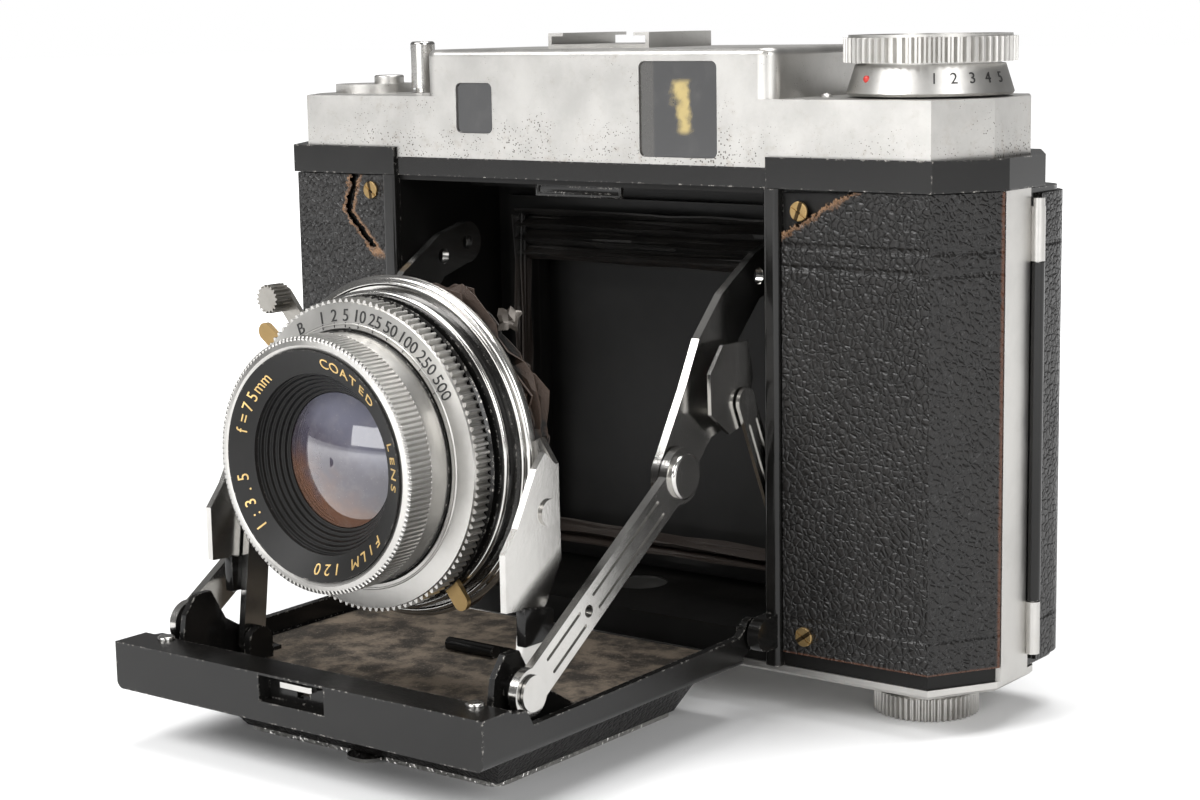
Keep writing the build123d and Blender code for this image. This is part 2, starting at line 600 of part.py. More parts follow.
SPRING_Y = (13.7, 14.5)
with BuildPart() as pressure_springs:
    for z in (20.0, 56.0):
        leaf = [
            (-22, SPRING_Y[1]), (-14, SPRING_Y[1]), (-4, SPRING_Y[0] + 0.3), (4, SPRING_Y[0] + 0.3),
            (14, SPRING_Y[1]), (14, SPRING_Y[1] - 0.3), (4, SPRING_Y[0]), (-4, SPRING_Y[0]),
            (-14, SPRING_Y[1] - 0.3), (-22, SPRING_Y[1] - 0.3),
        ]
        extrude(outline(Plane.XY.offset(z - 3), leaf), amount=6)
keep(pressure_springs, "pressure_springs")

with BuildPart() as red_window:
    extrude(disc(facing(15.5), RED_WINDOW, 4.15), amount=0.9)
keep(red_window, "red_window")

# sliding shutter over the red window
SHUTTER_Y = (REAR_Y + 0.1, REAR_Y + 0.8)
with BuildPart() as window_shutter:
    centre, sides = block(
        (RED_WINDOW[0] - 6, SHUTTER_Y[0], RED_WINDOW[1] - 5.6),
        (RED_WINDOW[0] + 6, SHUTTER_Y[1], RED_WINDOW[1] + 5.6),
    )
    with Locations(centre):
        Box(*sides)
    with Locations((RED_WINDOW[0] - 3.5, SHUTTER_Y[1] + 0.3, RED_WINDOW[1])):
        Box(1.2, 0.8, 7.0)
keep(window_shutter, "window_shutter")

LATCH_X = BODY_CX - COVER_SIDE - 0.1
with BuildPart() as back_latch:
    box_between((LATCH_X - 1.1, 4.6, 30.0), (LATCH_X, 10.4, 46.0))
    fillet(back_latch.edges().filter_by(Axis.X), radius=1.5)
    for row in range(5):
        with Locations((LATCH_X - 1.1, 7.5, 34.0 + row * 2.0)):
            Box(0.6, 4.2, 0.8, mode=Mode.SUBTRACT)
keep(back_latch, "back_latch")

# ---------------------------------------------------------------- door

LATCH_POCKET = ((-5.6, 5.1), (7.0, 8.9))   # x and z corners, in the front wall
SHELF_Y = -76.7                            # back edge of the front wall's top flange


with BuildPart() as door_tray:
    box_between((-DOOR_HALF, DOOR_TIP_Y, FLOOR_Z[0]), (DOOR_HALF, HINGE_Y - 2.5, FLOOR_Z[1]))
    box_between((-DOOR_HALF, DOOR_TIP_Y, 2.1), (DOOR_HALF, DOOR_TIP_Y + 1.4, NOSE_Z))
    box_between((-DOOR_HALF, DOOR_TIP_Y, NOSE_Z - 0.7), (DOOR_HALF, SHELF_Y, NOSE_Z))
    low, high = LATCH_POCKET
    box_between((low[0] - 1.4, DOOR_TIP_Y, low[1] - 1.4), (high[0] + 1.4, DOOR_TIP_Y + 3.4, NOSE_Z))
    rail = [
        (DOOR_TIP_Y, 2.1), (DOOR_TIP_Y, NOSE_Z), (-73.5, NOSE_Z - 0.8), (-72.2, RAIL_Z),
        (-23.0, RAIL_Z + 0.8), (HINGE_Y, HINGE_Z + 2.3), (HINGE_Y, HINGE_Z - 2.3), (-23.0, 3.3), (-40.0, 2.7),
    ]
    for x in (-DOOR_HALF, DOOR_HALF - DOOR_WALL):
        extrude(outline(across(x), rail), amount=DOOR_WALL)
        extrude(disc(across(x), (HINGE_Y, HINGE_Z), 2.3), amount=DOOR_WALL)
        extrude(disc(across(x), (HINGE_Y, HINGE_Z), PIN_R + RUN), amount=DOOR_WALL, mode=Mode.SUBTRACT)
    fillet(door_tray.edges().filter_by(Axis.Y).group_by(Axis.Z)[0].sort_by(Axis.X)[0], radius=1.2)
    fillet(door_tray.edges().filter_by(Axis.Y).group_by(Axis.Z)[0].sort_by(Axis.X)[-1], radius=1.2)
    box_between((low[0], DOOR_TIP_Y, low[1]), (high[0], DOOR_TIP_Y + 2.2, high[1]), Mode.SUBTRACT)
    box_between((-0.2, DOOR_TIP_Y, 5.9), (2.2, DOOR_TIP_Y + 4, 8.4), Mode.SUBTRACT)
keep(door_tray, "door_tray")

with BuildPart() as door_latch:
    box_between((-2.3, DOOR_TIP_Y + 0.6, 7.5), (4.0, DOOR_TIP_Y + 2.1, 8.3))
    fillet(door_latch.edges().filter_by(Axis.Z), radius=0.5)
    box_between((0.0, DOOR_TIP_Y + 2.1, 7.5), (2.0, DOOR_TIP_Y + 3.9, 8.3))
keep(door_latch, "door_latch")

# pressed bulge under the door, closed by a plate with a bright edge
BULGE_TOP = ((-30.0, -73.0), (30.0, -22.5))
BULGE_FOOT = ((-24.6, -67.0), (24.6, -25.0))
PLATE_Z = (-6.3, -5.7)


def rectangle_on(plane, low, high):
    """A rectangle between two corners of a plane."""
    return outline(plane, [low, (high[0], low[1]), high, (low[0], high[1])])


with BuildPart() as door_bulge:
    loft([
        rectangle_on(Plane.XY.offset(PLATE_Z[1]), *BULGE_FOOT),
        rectangle_on(Plane.XY.offset(FLOOR_Z[0]), *BULGE_TOP),
    ])
keep(door_bulge, "door_bulge")

with BuildPart() as bulge_plate:
    extrude(rectangle_on(Plane.XY.offset(PLATE_Z[0]), *BULGE_FOOT), amount=PLATE_Z[1] - PLATE_Z[0])
    fillet(bulge_plate.edges().filter_by(Axis.Z), radius=2.0)
    box_between((-3.4, -67.0, PLATE_Z[0]), (3.4, -62.0, PLATE_Z[1]), Mode.SUBTRACT)
keep(bulge_plate, "bulge_plate")

with BuildPart() as door_foot:
    box_between((-3.0, -69.6, -6.25), (3.0, -64.6, -5.75))
    fillet(door_foot.edges().filter_by(Axis.Z).group_by(Axis.Y)[0], radius=2.4)
keep(door_foot, "door_foot")

SIDES = {"left": -1, "right": 1}


def layer(side, span):
    """Start and thickness along X of a flat piece that lies span from the middle."""
    start = span[0] if side > 0 else -span[1]
    return across(start), span[1] - span[0]


BRACKET_X = (29.5, 30.5)
MOUNT_X = (24.9, 26.2)
with BuildPart() as door_brackets:
    for side in SIDES.values():
        plane, depth = layer(side, BRACKET_X)
        cheek = [
            (-75.5, FLOOR_Z[1]), (-74.0, 12.0), (-71.8, 14.8), (-68.8, 14.8), (-66.0, 10.0),
            (-55.5, FLOOR_Z[1]),
        ]
        extrude(outline(plane, cheek), amount=depth)
        plane, depth = layer(side, (BRACKET_X[1], LOWER_X[0] - 0.1))
        extrude(disc(plane, STRUT_FOOT, 2.1), amount=depth)
        plane, depth = layer(side, (27.0, 33.8))
        foot_top = FLOOR_Z[1] + 0.6
        foot = [(-74.5, FLOOR_Z[1]), (-74.5, foot_top), (-57.0, foot_top), (-57.0, FLOOR_Z[1])]
        extrude(outline(plane, foot), amount=depth)
    for side in SIDES.values():
        plane, depth = layer(side, MOUNT_X)
        y, z = CRADLE_FOOT
        post = [(y - 2.4, FLOOR_Z[1]), (y - 2.4, z), (y + 2.4, z), (y + 2.4, FLOOR_Z[1])]
        extrude(outline(plane, post), amount=depth)
        extrude(disc(plane, CRADLE_FOOT, 2.4), amount=depth)
        plane, depth = layer(side, (MOUNT_X[1], CRADLE_X[1]))
        extrude(disc(plane, CRADLE_FOOT, 1.0), amount=depth)
    # the cradle spring's barrel
    extrude(disc(across(-5.0), (-42.8, FLOOR_Z[1] + 1.0), 1.0), amount=9.3)
    box_between((-5.0, -42.8, FLOOR_Z[1]), (4.3, -38.5, FLOOR_Z[1] + 0.5))
keep(door_brackets, "door_brackets")

with BuildPart() as door_rivets:
    for x in (-30.0, 30.0):
        extrude(disc(Plane.XY.offset(NOSE_Z), (x, -77.6), 1.3), amount=0.5)
    fillet(door_rivets.faces().filter_by(Axis.Z).group_by(Axis.Z)[-1].edges(), radius=0.35)
    for side in SIDES.values():
        plane, depth = layer(side, (LOWER_X[0] - 0.1, LOWER_X[1] + 0.1))
        extrude(disc(plane, STRUT_FOOT, 1.5), amount=depth)
        plane, depth = layer(side, (LOWER_X[1] + 0.1, LOWER_X[1] + 0.55))
        extrude(disc(plane, STRUT_FOOT, 2.5), amount=depth)
keep(door_rivets, "door_rivets")

# ---------------------------------------------------------------- cradle and standard

with BuildPart() as cradle_arms:
    for side in SIDES.values():
        plane, depth = layer(side, CRADLE_X)
        extrude(slot_shape(plane, CRADLE_FOOT, CRADLE_TOP, 4.4), amount=depth)
        for point in (CRADLE_FOOT, CRADLE_TOP):
            extrude(disc(plane, point, 1.0 + RUN), amount=depth, mode=Mode.SUBTRACT)
keep(cradle_arms, "cradle_arms")

LEG = [
    (-69.5, 19.8), (-69.5, 27.8), (-66.8, 31.0), (-62.5, 38.5), (-60.5, 40.5),
    (-57.6, 38.0), (-57.4, 25.0), (-61.0, 19.2),
]
with BuildPart() as standard_ring:
    extrude(disc(facing(RING_Y[1]), (0, LENS_Z), RING_R, 21.6), amount=RING_Y[1] - RING_Y[0])
    fillet(standard_ring.edges().filter_by(GeomType.CIRCLE).sort_by(SortBy.RADIUS)[-2:], radius=0.7)
    for side in SIDES.values():
        web = [
            (side * 23.0, 35.6), (side * 23.6, 40.5), (side * 26.4, 42.0), (side * 28.8, 38.5),
            (side * 28.8, 35.6),
        ]
        extrude(outline(facing(RING_Y[1] - 0.4), web), amount=1.0)
        plane, depth = layer(side, LEG_X)
        extrude(outline(plane, LEG), amount=depth)
        plane, depth = layer(side, (CRADLE_X[0], LEG_X[0]))
        extrude(disc(plane, CRADLE_TOP, 1.0), amount=depth)
        plane, depth = layer(side, (LEG_X[1], LEG_X[1] + 0.4))
        extrude(disc(plane, CRADLE_TOP, 1.9), amount=depth)
keep(standard_ring, "standard_ring")

HUB_R = 18.1
GROOVE_Y = (-63.7, -62.5)
keep(turned([
    (-68.0, 15.0), (-68.0, HUB_R), (-64.1, HUB_R), (-64.1, 22.3), (GROOVE_Y[0], 22.6),
    (GROOVE_Y[0], 19.0), (GROOVE_Y[1], 19.0), (GROOVE_Y[1], 22.6), (-59.2, 22.9), (-59.2, 12.0),
    (-67.0, 12.0),
]), "shutter_body")
with BuildPart() as speed_ring:
    extrude(toothed(facing(-64.3), (0, LENS_Z), 22.5, 21.9, 120), amount=2.5)
    with BuildSketch(Plane.YZ):
        with BuildLine():
            Polyline(
                (-66.8, LENS_Z + 17.0), (-67.7, LENS_Z + 18.4), (-67.2, LENS_Z + 21.9),
                (-66.8, LENS_Z + 22.0),
                close=True,
            )
        make_face()
    revolve(axis=LENS_AXIS)
    extrude(disc(facing(-60), (0, LENS_Z), HUB_R + RUN), amount=10, mode=Mode.SUBTRACT)
keep(speed_ring, "speed_ring")

keep(turned([
    (-76.0, 16.45), (-76.2, 17.0), (-75.8, 18.2), (-71.5, 18.2), (-71.5, 17.7), (-68.0, 17.9), (-68.0, 16.1),
    (-74.0, 16.1), (-74.0, 16.45),
]), "lens_barrel")
keep(turned([(-76.4, 16.4), (-74.6, 12.9), (-74.0, 12.9), (-74.0, 16.4)]), "name_ring")
keep(turned([(-74.0, 12.9), (-74.0, 16.0), (-68.6, 16.0), (-68.6, 9.7), (-70.4, 9.7)]), "lens_cone")


def dome(apex, rim, radius):
    """Arc of a spherical lens face from its apex on the axis to its rim."""
    sag = rim - apex
    ball = (radius**2 + sag**2) / (2 * sag)
    half = asin(radius / abs(ball)) / 2
    middle = (apex + ball * (1 - cos(half)), LENS_Z + abs(ball) * sin(half))
    return ThreePointArc((apex, LENS_Z), middle, (rim, LENS_Z + radius))


def glass(front, rim_front, rim_back, back, radius):
    """A round lens with two spherical faces, given the y of its faces and of its rim."""
    with BuildPart() as lens:
        with BuildSketch(Plane.YZ):
            with BuildLine():
                Line((front, LENS_Z), (back, LENS_Z))
                add(dome(back, rim_back, radius))
                Line((rim_back, LENS_Z + radius), (rim_front, LENS_Z + radius))
                add(dome(front, rim_front, radius))
            make_face()
        revolve(axis=LENS_AXIS)
    return lens


keep(glass(-72.6, -70.4, -68.8, -68.4, 9.65), "front_lens")
keep(glass(-56.6, -56.0, -54.0, -52.6, 8.0), "rear_lens")
keep(turned([
    (-59.2, 8.05), (-59.2, 24.0), (-58.7, 24.0), (-58.7, 21.55), (-57.0, 21.55), (-57.0, 10.9), (-53.4, 10.9),
    (-53.4, 8.05),
]), "standard_plate")
with BuildPart() as aperture_blades:
    extrude(disc(facing(-65.4), (0, LENS_Z), 11.9, 4.6), amount=0.3)
keep(aperture_blades, "aperture_blades")
with BuildPart() as shutter_blades:
    extrude(disc(facing(-64.0), (0, LENS_Z), 11.9), amount=0.3)
keep(shutter_blades, "shutter_blades")


def polar(radius, angle):
    """A point around the lens axis, the angle counted from +X towards +Z."""
    return (radius * cos(radians(angle)), LENS_Z + radius * sin(radians(angle)))


def groove_lever(angle, reach, width):
    """A flat lever that runs in the shutter's groove."""
    with BuildPart() as lever:
        root = facing(GROOVE_Y[1] - 0.15)
        extrude(slot_shape(root, polar(20.8, angle), polar(reach, angle), width), amount=0.8)
    return lever


COCK_ANGLE = 129.0
COCK_REACH = 27.5
with BuildPart() as cocking_lever:
    root = facing(GROOVE_Y[1] - 0.15)
    extrude(slot_shape(root, polar(20.8, COCK_ANGLE), polar(COCK_REACH, COCK_ANGLE), 3.0), amount=0.8)
    extrude(toothed(facing(GROOVE_Y[0] + 0.25), polar(COCK_REACH, COCK_ANGLE), 2.1, 1.75, 18), amount=3.2)
keep(cocking_lever, "cocking_lever")
keep(groove_lever(143.0, 26.6, 2.6), "release_lever")
keep(groove_lever(-52.0, 25.2, 2.6), "aperture_lever")

with BuildPart() as bellows_front:
    for y, half, depth in ((-52.6, 22.0, 1.4), (-54.0, 23.0, 1.4), (-55.4, 22.0, 1.5)):
        with BuildSketch(facing(y)):
            with Locations((0, LENS_Z)):
                RegularPolygon(half / cos(radians(22.5)), 8, rotation=22.5)
                Circle(14.0, mode=Mode.SUBTRACT)
        extrude(amount=depth)
keep(bellows_front, "bellows_front")

# ---------------------------------------------------------------- struts

UPPER_EDGE = [
    (-38.2, 35.2), (-31.5, 46.0), (-28.0, 52.5), (-22.0, 58.5), (-13.0, 63.8), (-6.0, 65.5),
    (-6.0, 58.5), (-12.0, 56.8), (-17.5, 51.5), (-20.5, 46.5), (-18.6, 42.5), (-20.2, 38.4), (-25.0, 37.6),
    (-31.6, 31.0),
]
STRUT_PLATE = [
    (-28.6, 41.5), (-28.8, 47.5), (-25.5, 51.4), (-19.0, 51.4), (-17.6, 46.0), (-19.4, 39.2), (-24.0, 38.0),
]
PLATE_RIVET = (-21.6, 41.2)


def along(share, offset):
    """A point beside the lower strut's centre line."""
    run = Vector(KNEE[0] - STRUT_FOOT[0], KNEE[1] - STRUT_FOOT[1])
    unit = run.normalized()
    return (
        STRUT_FOOT[0] + run.X * share - unit.Y * offset,
        STRUT_FOOT[1] + run.Y * share + unit.X * offset,
    )


def lower_strut(side):
    """Flat arm from the door to the knee, engraved with paired lines, with the knee's domed rivet."""
    with BuildPart() as arm:
        plane, depth = layer(side, LOWER_X)
        extrude(slot_shape(plane, STRUT_FOOT, KNEE, 5.4), amount=depth)
        extrude(disc(plane, STRUT_FOOT, 3.4), amount=depth)
        extrude(disc(plane, KNEE, 4.2), amount=depth)
        extrude(disc(plane, STRUT_FOOT, 1.5 + RUN), amount=depth, mode=Mode.SUBTRACT)
        extrude(disc(plane, along(0.36, 0), 0.9), amount=depth, mode=Mode.SUBTRACT)
        plane, depth = layer(side, (LOWER_X[1] - 0.25, LOWER_X[1] + 0.1))
        for start, end in ((0.12, 0.32), (0.41, 0.84)):
            for offset in (-1.2, 1.2):
                groove = slot_shape(plane, along(start, offset), along(end, offset), 0.55)
                extrude(groove, amount=depth, mode=Mode.SUBTRACT)
        plane, depth = layer(side, (LOWER_X[1], LOWER_X[1] + 0.8))
        extrude(disc(plane, KNEE, 3.4), amount=depth)
        outer = arm.faces().filter_by(Axis.X).sort_by(Axis.X)[-1 if side > 0 else 0]
        fillet(outer.edges(), radius=0.5)
        plane, depth = layer(side, (UPPER_X[0] - 0.4, LOWER_X[0]))
        extrude(disc(plane, KNEE, 1.2), amount=depth)
        plane, depth = layer(side, (UPPER_X[0] - 0.7, UPPER_X[0] - 0.3))
        extrude(disc(plane, KNEE, 2.4), amount=depth)
    return arm


def upper_strut(side):
    """Curved arm from the knee into the body."""
    with BuildPart() as arm:
        plane, depth = layer(side, UPPER_X)
        extrude(outline(plane, UPPER_EDGE), amount=depth)
        extrude(disc(plane, KNEE, 4.1), amount=depth)
        extrude(disc(plane, STRUT_TOP, 3.5), amount=depth)
        extrude(disc(plane, KNEE, 1.2 + RUN), amount=depth, mode=Mode.SUBTRACT)
        extrude(disc(plane, (-12.2, 60.2), 1.3), amount=depth, mode=Mode.SUBTRACT)
        extrude(disc(plane, STRUT_TOP, 1.2), amount=depth, mode=Mode.SUBTRACT)
    return arm


# plates that cover the bend of each upper arm, on their rivets
with BuildPart() as strut_plates:
    for side in SIDES.values():
        plane, depth = layer(side, PLATE_X)
        extrude(outline(plane, STRUT_PLATE), amount=depth)
        plane, depth = layer(side, (UPPER_X[1], PLATE_X[0]))
        extrude(disc(plane, PLATE_RIVET, 1.2), amount=depth)
keep(strut_plates, "strut_plates")

STAY_TOP = (-20.6, 42.5)

# short locking levers from the chamber walls to the strut plates
with BuildPart() as stays:
    for side in SIDES.values():
        plane, depth = layer(side, STAY_X)
        extrude(slot_shape(plane, STAY_FOOT, STAY_TOP, 4.2), amount=depth)
        extrude(disc(plane, STAY_FOOT, 1.2 + RUN), amount=depth, mode=Mode.SUBTRACT)
        plane, depth = layer(side, (STAY_X[1] - 0.2, STAY_X[1] + 0.1))
        for offset in (-0.9, 0.9):
            start = (STAY_FOOT[0] - 1.6 + offset, STAY_FOOT[1] + 3.4 + offset * 0.45)
            end = (STAY_TOP[0] + 1.6 + offset, STAY_TOP[1] - 3.4 + offset * 0.45)
            extrude(slot_shape(plane, start, end, 0.5), amount=depth, mode=Mode.SUBTRACT)
keep(stays, "stays")

for name, side in SIDES.items():
    keep(lower_strut(side), f"lower_strut_{name}")
    keep(upper_strut(side), f"upper_strut_{name}")

with BuildPart() as stay_rails:
    for side, wall in ((-1, CHAMBER_X[0]), (1, CHAMBER_X[1])):
        inner = side * 35.8
        low_x, high_x = sorted((inner, wall))
        box_between((low_x, -12.5, CHAMBER_Z[0]), (high_x, -10.1, 24.4))
        low_x, high_x = sorted((side * (STAY_X[0] - 0.2), inner))
        extrude(disc(across(low_x), STAY_FOOT, 1.2), amount=high_x - low_x)
keep(stay_rails, "stay_rails")
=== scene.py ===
from math import cos, pi, radians, sin

import bmesh
import bpy
from mathutils import Matrix, Vector


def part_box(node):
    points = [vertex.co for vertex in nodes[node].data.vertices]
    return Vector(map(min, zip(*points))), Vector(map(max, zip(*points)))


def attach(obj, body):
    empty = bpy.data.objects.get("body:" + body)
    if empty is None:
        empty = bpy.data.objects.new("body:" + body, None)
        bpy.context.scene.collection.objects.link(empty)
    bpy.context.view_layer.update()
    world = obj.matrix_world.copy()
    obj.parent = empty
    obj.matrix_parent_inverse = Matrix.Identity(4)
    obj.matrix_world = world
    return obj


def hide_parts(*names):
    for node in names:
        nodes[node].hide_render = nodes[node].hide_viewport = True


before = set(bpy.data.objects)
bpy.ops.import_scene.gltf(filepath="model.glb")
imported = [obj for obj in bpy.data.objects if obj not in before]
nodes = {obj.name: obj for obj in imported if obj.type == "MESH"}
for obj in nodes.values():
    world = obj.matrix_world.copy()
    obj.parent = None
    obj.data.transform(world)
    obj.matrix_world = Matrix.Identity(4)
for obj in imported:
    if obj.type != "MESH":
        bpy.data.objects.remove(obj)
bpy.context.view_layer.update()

MM = 0.001
LENS_Z = 38.1


# ---------------------------------------------------------------- node helpers


def wire(tree, value, socket):
    """Feed a socket from another socket, or set it to a plain value."""
    if isinstance(value, bpy.types.NodeSocket):
        tree.links.new(value, socket)
    elif value is not None:
        socket.default_value = value


def calc(tree, operation, *values, clamp=False):
    node = tree.nodes.new("ShaderNodeMath")
    node.operation = operation
    node.use_clamp = clamp
    for socket, value in zip(node.inputs, values):
        wire(tree, value, socket)
    return node.outputs[0]


def times(tree, first, second, clamp=False):
    return calc(tree, "MULTIPLY", first, second, clamp=clamp)


def plus(tree, first, second, clamp=False):
    return calc(tree, "ADD", first, second, clamp=clamp)


def minus(tree, first, second, clamp=False):
    return calc(tree, "SUBTRACT", first, second, clamp=clamp)


def away(tree, value, level):
    """How far a value is from a level, either way."""
    return calc(tree, "ABSOLUTE", minus(tree, value, level))


def blend(tree, factor, first, second, kind="RGBA", mode="MIX"):
    node = tree.nodes.new("ShaderNodeMix")
    node.data_type = kind
    if kind == "RGBA":
        node.blend_type = mode
    ends = (6, 7, 2) if kind == "RGBA" else (2, 3, 0)
    wire(tree, factor, node.inputs[0])
    wire(tree, first, node.inputs[ends[0]])
    wire(tree, second, node.inputs[ends[1]])
    return node.outputs[ends[2]]


def between(tree, value, low, high):
    """0 below low, 1 above high, smooth between them."""
    node = tree.nodes.new("ShaderNodeMapRange")
    node.interpolation_type = "SMOOTHSTEP"
    wire(tree, value, node.inputs["Value"])
    wire(tree, low, node.inputs["From Min"])
    wire(tree, high, node.inputs["From Max"])
    return node.outputs[0]


def spot(tree):
    """The place on the object, in millimetres."""
    place = tree.nodes.new("ShaderNodeTexCoord")
    scale = tree.nodes.new("ShaderNodeVectorMath")
    scale.operation = "SCALE"
    scale.inputs["Scale"].default_value = 1000
    tree.links.new(place.outputs["Object"], scale.inputs[0])
    return scale.outputs[0]


def parts(tree, vector):
    node = tree.nodes.new("ShaderNodeSeparateXYZ")
    tree.links.new(vector, node.inputs[0])
    return node.outputs[0], node.outputs[1], node.outputs[2]


def noise(tree, place, scale, detail=4.0, rough=0.6, stretch=None):
    node = tree.nodes.new("ShaderNodeTexNoise")
    if stretch:
        mapping = tree.nodes.new("ShaderNodeMapping")
        mapping.inputs["Scale"].default_value = stretch
        tree.links.new(place, mapping.inputs[0])
        place = mapping.outputs[0]
    tree.links.new(place, node.inputs["Vector"])
    wire(tree, scale, node.inputs["Scale"])
    node.inputs["Detail"].default_value = detail
    node.inputs["Roughness"].default_value = rough
    return node.outputs[0]


def cells(tree, place, scale, feature="F1"):
    node = tree.nodes.new("ShaderNodeTexVoronoi")
    node.feature = feature
    tree.links.new(place, node.inputs["Vector"])
    wire(tree, scale, node.inputs["Scale"])
    return node.outputs["Distance"]


def group(name, inputs, outputs):
    """A shader node group with named inputs (name, kind, value) and outputs (name, kind)."""
    tree = bpy.data.node_groups.new(name, "ShaderNodeTree")
    for label, kind, value in inputs:
        socket = tree.interface.new_socket(label, in_out="INPUT", socket_type=kind)
        socket.default_value = value
    for label, kind in outputs:
        tree.interface.new_socket(label, in_out="OUTPUT", socket_type=kind)
    return tree, tree.nodes.new("NodeGroupInput").outputs, tree.nodes.new("NodeGroupOutput").inputs


FLOAT = "NodeSocketFloat"

# ---------------------------------------------------------------- shared effects

wear_group, given, result = group(
    "Edge wear",
    [("Radius", FLOAT, 0.0006), ("Amount", FLOAT, 0.5), ("Scale", FLOAT, 1.2)],
    [("Mask", FLOAT)],
)
bevel = wear_group.nodes.new("ShaderNodeBevel")
bevel.samples = 6
wear_group.links.new(given["Radius"], bevel.inputs["Radius"])
face = wear_group.nodes.new("ShaderNodeNewGeometry")
dot = wear_group.nodes.new("ShaderNodeVectorMath")
dot.operation = "DOT_PRODUCT"
wear_group.links.new(bevel.outputs[0], dot.inputs[0])
wear_group.links.new(face.outputs["Normal"], dot.inputs[1])
edge = minus(wear_group, 1.0, dot.outputs["Value"])
broken = noise(wear_group, spot(wear_group), given["Scale"], 6.0, 0.7)
reach = times(wear_group, edge, times(wear_group, given["Amount"], 12.0))
mask = plus(wear_group, calc(wear_group, "MINIMUM", reach, 1.0), minus(wear_group, broken, 0.5))
worn = between(wear_group, mask, 1.02, 1.16)
wire(wear_group, times(wear_group, worn, between(wear_group, edge, 0.004, 0.02)), result["Mask"])

pit_group, given, result = group(
    "Pitting",
    [("Scale", FLOAT, 1.0), ("Amount", FLOAT, 0.3), ("Low Edge", FLOAT, 0.0), ("Reach", FLOAT, 1.0)],
    [("Mask", FLOAT), ("Stain", FLOAT)],
)
place = spot(pit_group)
height = parts(pit_group, place)[2]
near = calc(pit_group, "DIVIDE", minus(pit_group, height, given["Low Edge"]), given["Reach"])
near = minus(pit_group, 1.0, near, clamp=True)
patch = between(pit_group, noise(pit_group, place, 0.16, 5.0, 0.65), 0.38, 0.72)
where = plus(pit_group, patch, times(pit_group, near, 0.7))
size = times(pit_group, times(pit_group, where, given["Amount"]), 0.36)
points = cells(pit_group, place, given["Scale"])
ragged = plus(pit_group, points, times(pit_group, noise(pit_group, place, 5.0), 0.14))
far = minus(pit_group, ragged, size)
wire(pit_group, minus(pit_group, 1.0, between(pit_group, far, 0.0, 0.06)), result["Mask"])
stain = times(pit_group, between(pit_group, noise(pit_group, place, 0.5, 7.0, 0.75), 0.5, 0.75), where)
wire(pit_group, times(pit_group, stain, given["Amount"], clamp=True), result["Stain"])

dust_group, given, result = group(
    "Dust",
    [("Amount", FLOAT, 0.3), ("Scale", FLOAT, 1.0)],
    [("Mask", FLOAT)],
)
place = spot(dust_group)
face = dust_group.nodes.new("ShaderNodeNewGeometry")
up = parts(dust_group, face.outputs["Normal"])[2]
lies = plus(dust_group, times(dust_group, up, 0.5), 0.35, clamp=True)
cloud = between(dust_group, noise(dust_group, place, 0.22, 8.0, 0.7), 0.35, 0.75)
motes = between(dust_group, noise(dust_group, place, times(dust_group, given["Scale"], 4.0), 3.0), 0.62, 0.72)
layer = plus(dust_group, times(dust_group, cloud, 0.45), times(dust_group, motes, 0.5))
wire(
    dust_group,
    times(dust_group, times(dust_group, layer, lies), given["Amount"], clamp=True),
    result["Mask"],
)

grain_group, given, result = group(
    "Leather grain",
    [("Scale", FLOAT, 0.9), ("Depth", FLOAT, 1.0)],
    [("Height", FLOAT), ("Shade", FLOAT)],
)
place = spot(grain_group)
warp = grain_group.nodes.new("ShaderNodeVectorMath")
warp.operation = "ADD"
swirl = grain_group.nodes.new("ShaderNodeTexNoise")
swirl.inputs["Scale"].default_value = 0.5
grain_group.links.new(place, swirl.inputs["Vector"])
wide = grain_group.nodes.new("ShaderNodeVectorMath")
wide.operation = "SCALE"
wide.inputs["Scale"].default_value = 1.6
grain_group.links.new(swirl.outputs["Color"], wide.inputs[0])
grain_group.links.new(place, warp.inputs[0])
grain_group.links.new(wide.outputs[0], warp.inputs[1])
pebble = cells(grain_group, warp.outputs[0], given["Scale"], "SMOOTH_F1")
crease = cells(grain_group, warp.outputs[0], given["Scale"], "DISTANCE_TO_EDGE")
hill = minus(grain_group, between(grain_group, crease, 0.0, 0.22), times(grain_group, pebble, 0.5))
hill = plus(grain_group, hill, times(grain_group, noise(grain_group, place, 3.0), 0.25))
wire(grain_group, times(grain_group, hill, given["Depth"]), result["Height"])
wire(grain_group, between(grain_group, hill, 0.1, 0.9), result["Shade"])


def use(tree, shared, **values):
    """Place a shared effect in a material, with its inputs named with underscores for spaces."""
    node = tree.nodes.new("ShaderNodeGroup")
    node.node_tree = shared
    for label, value in values.items():
        wire(tree, value, node.inputs[label.replace("_", " ")])
    return node.outputs


# ---------------------------------------------------------------- materials


def bump(tree, bsdf, height, distance, strength=1.0, normal=None):
    node = tree.nodes.new("ShaderNodeBump")
    node.inputs["Strength"].default_value = strength
    node.inputs["Distance"].default_value = distance
    tree.links.new(height, node.inputs["Height"])
    if normal:
        tree.links.new(normal, node.inputs["Normal"])
    tree.links.new(node.outputs[0], bsdf.inputs["Normal"])
    return node.outputs[0]


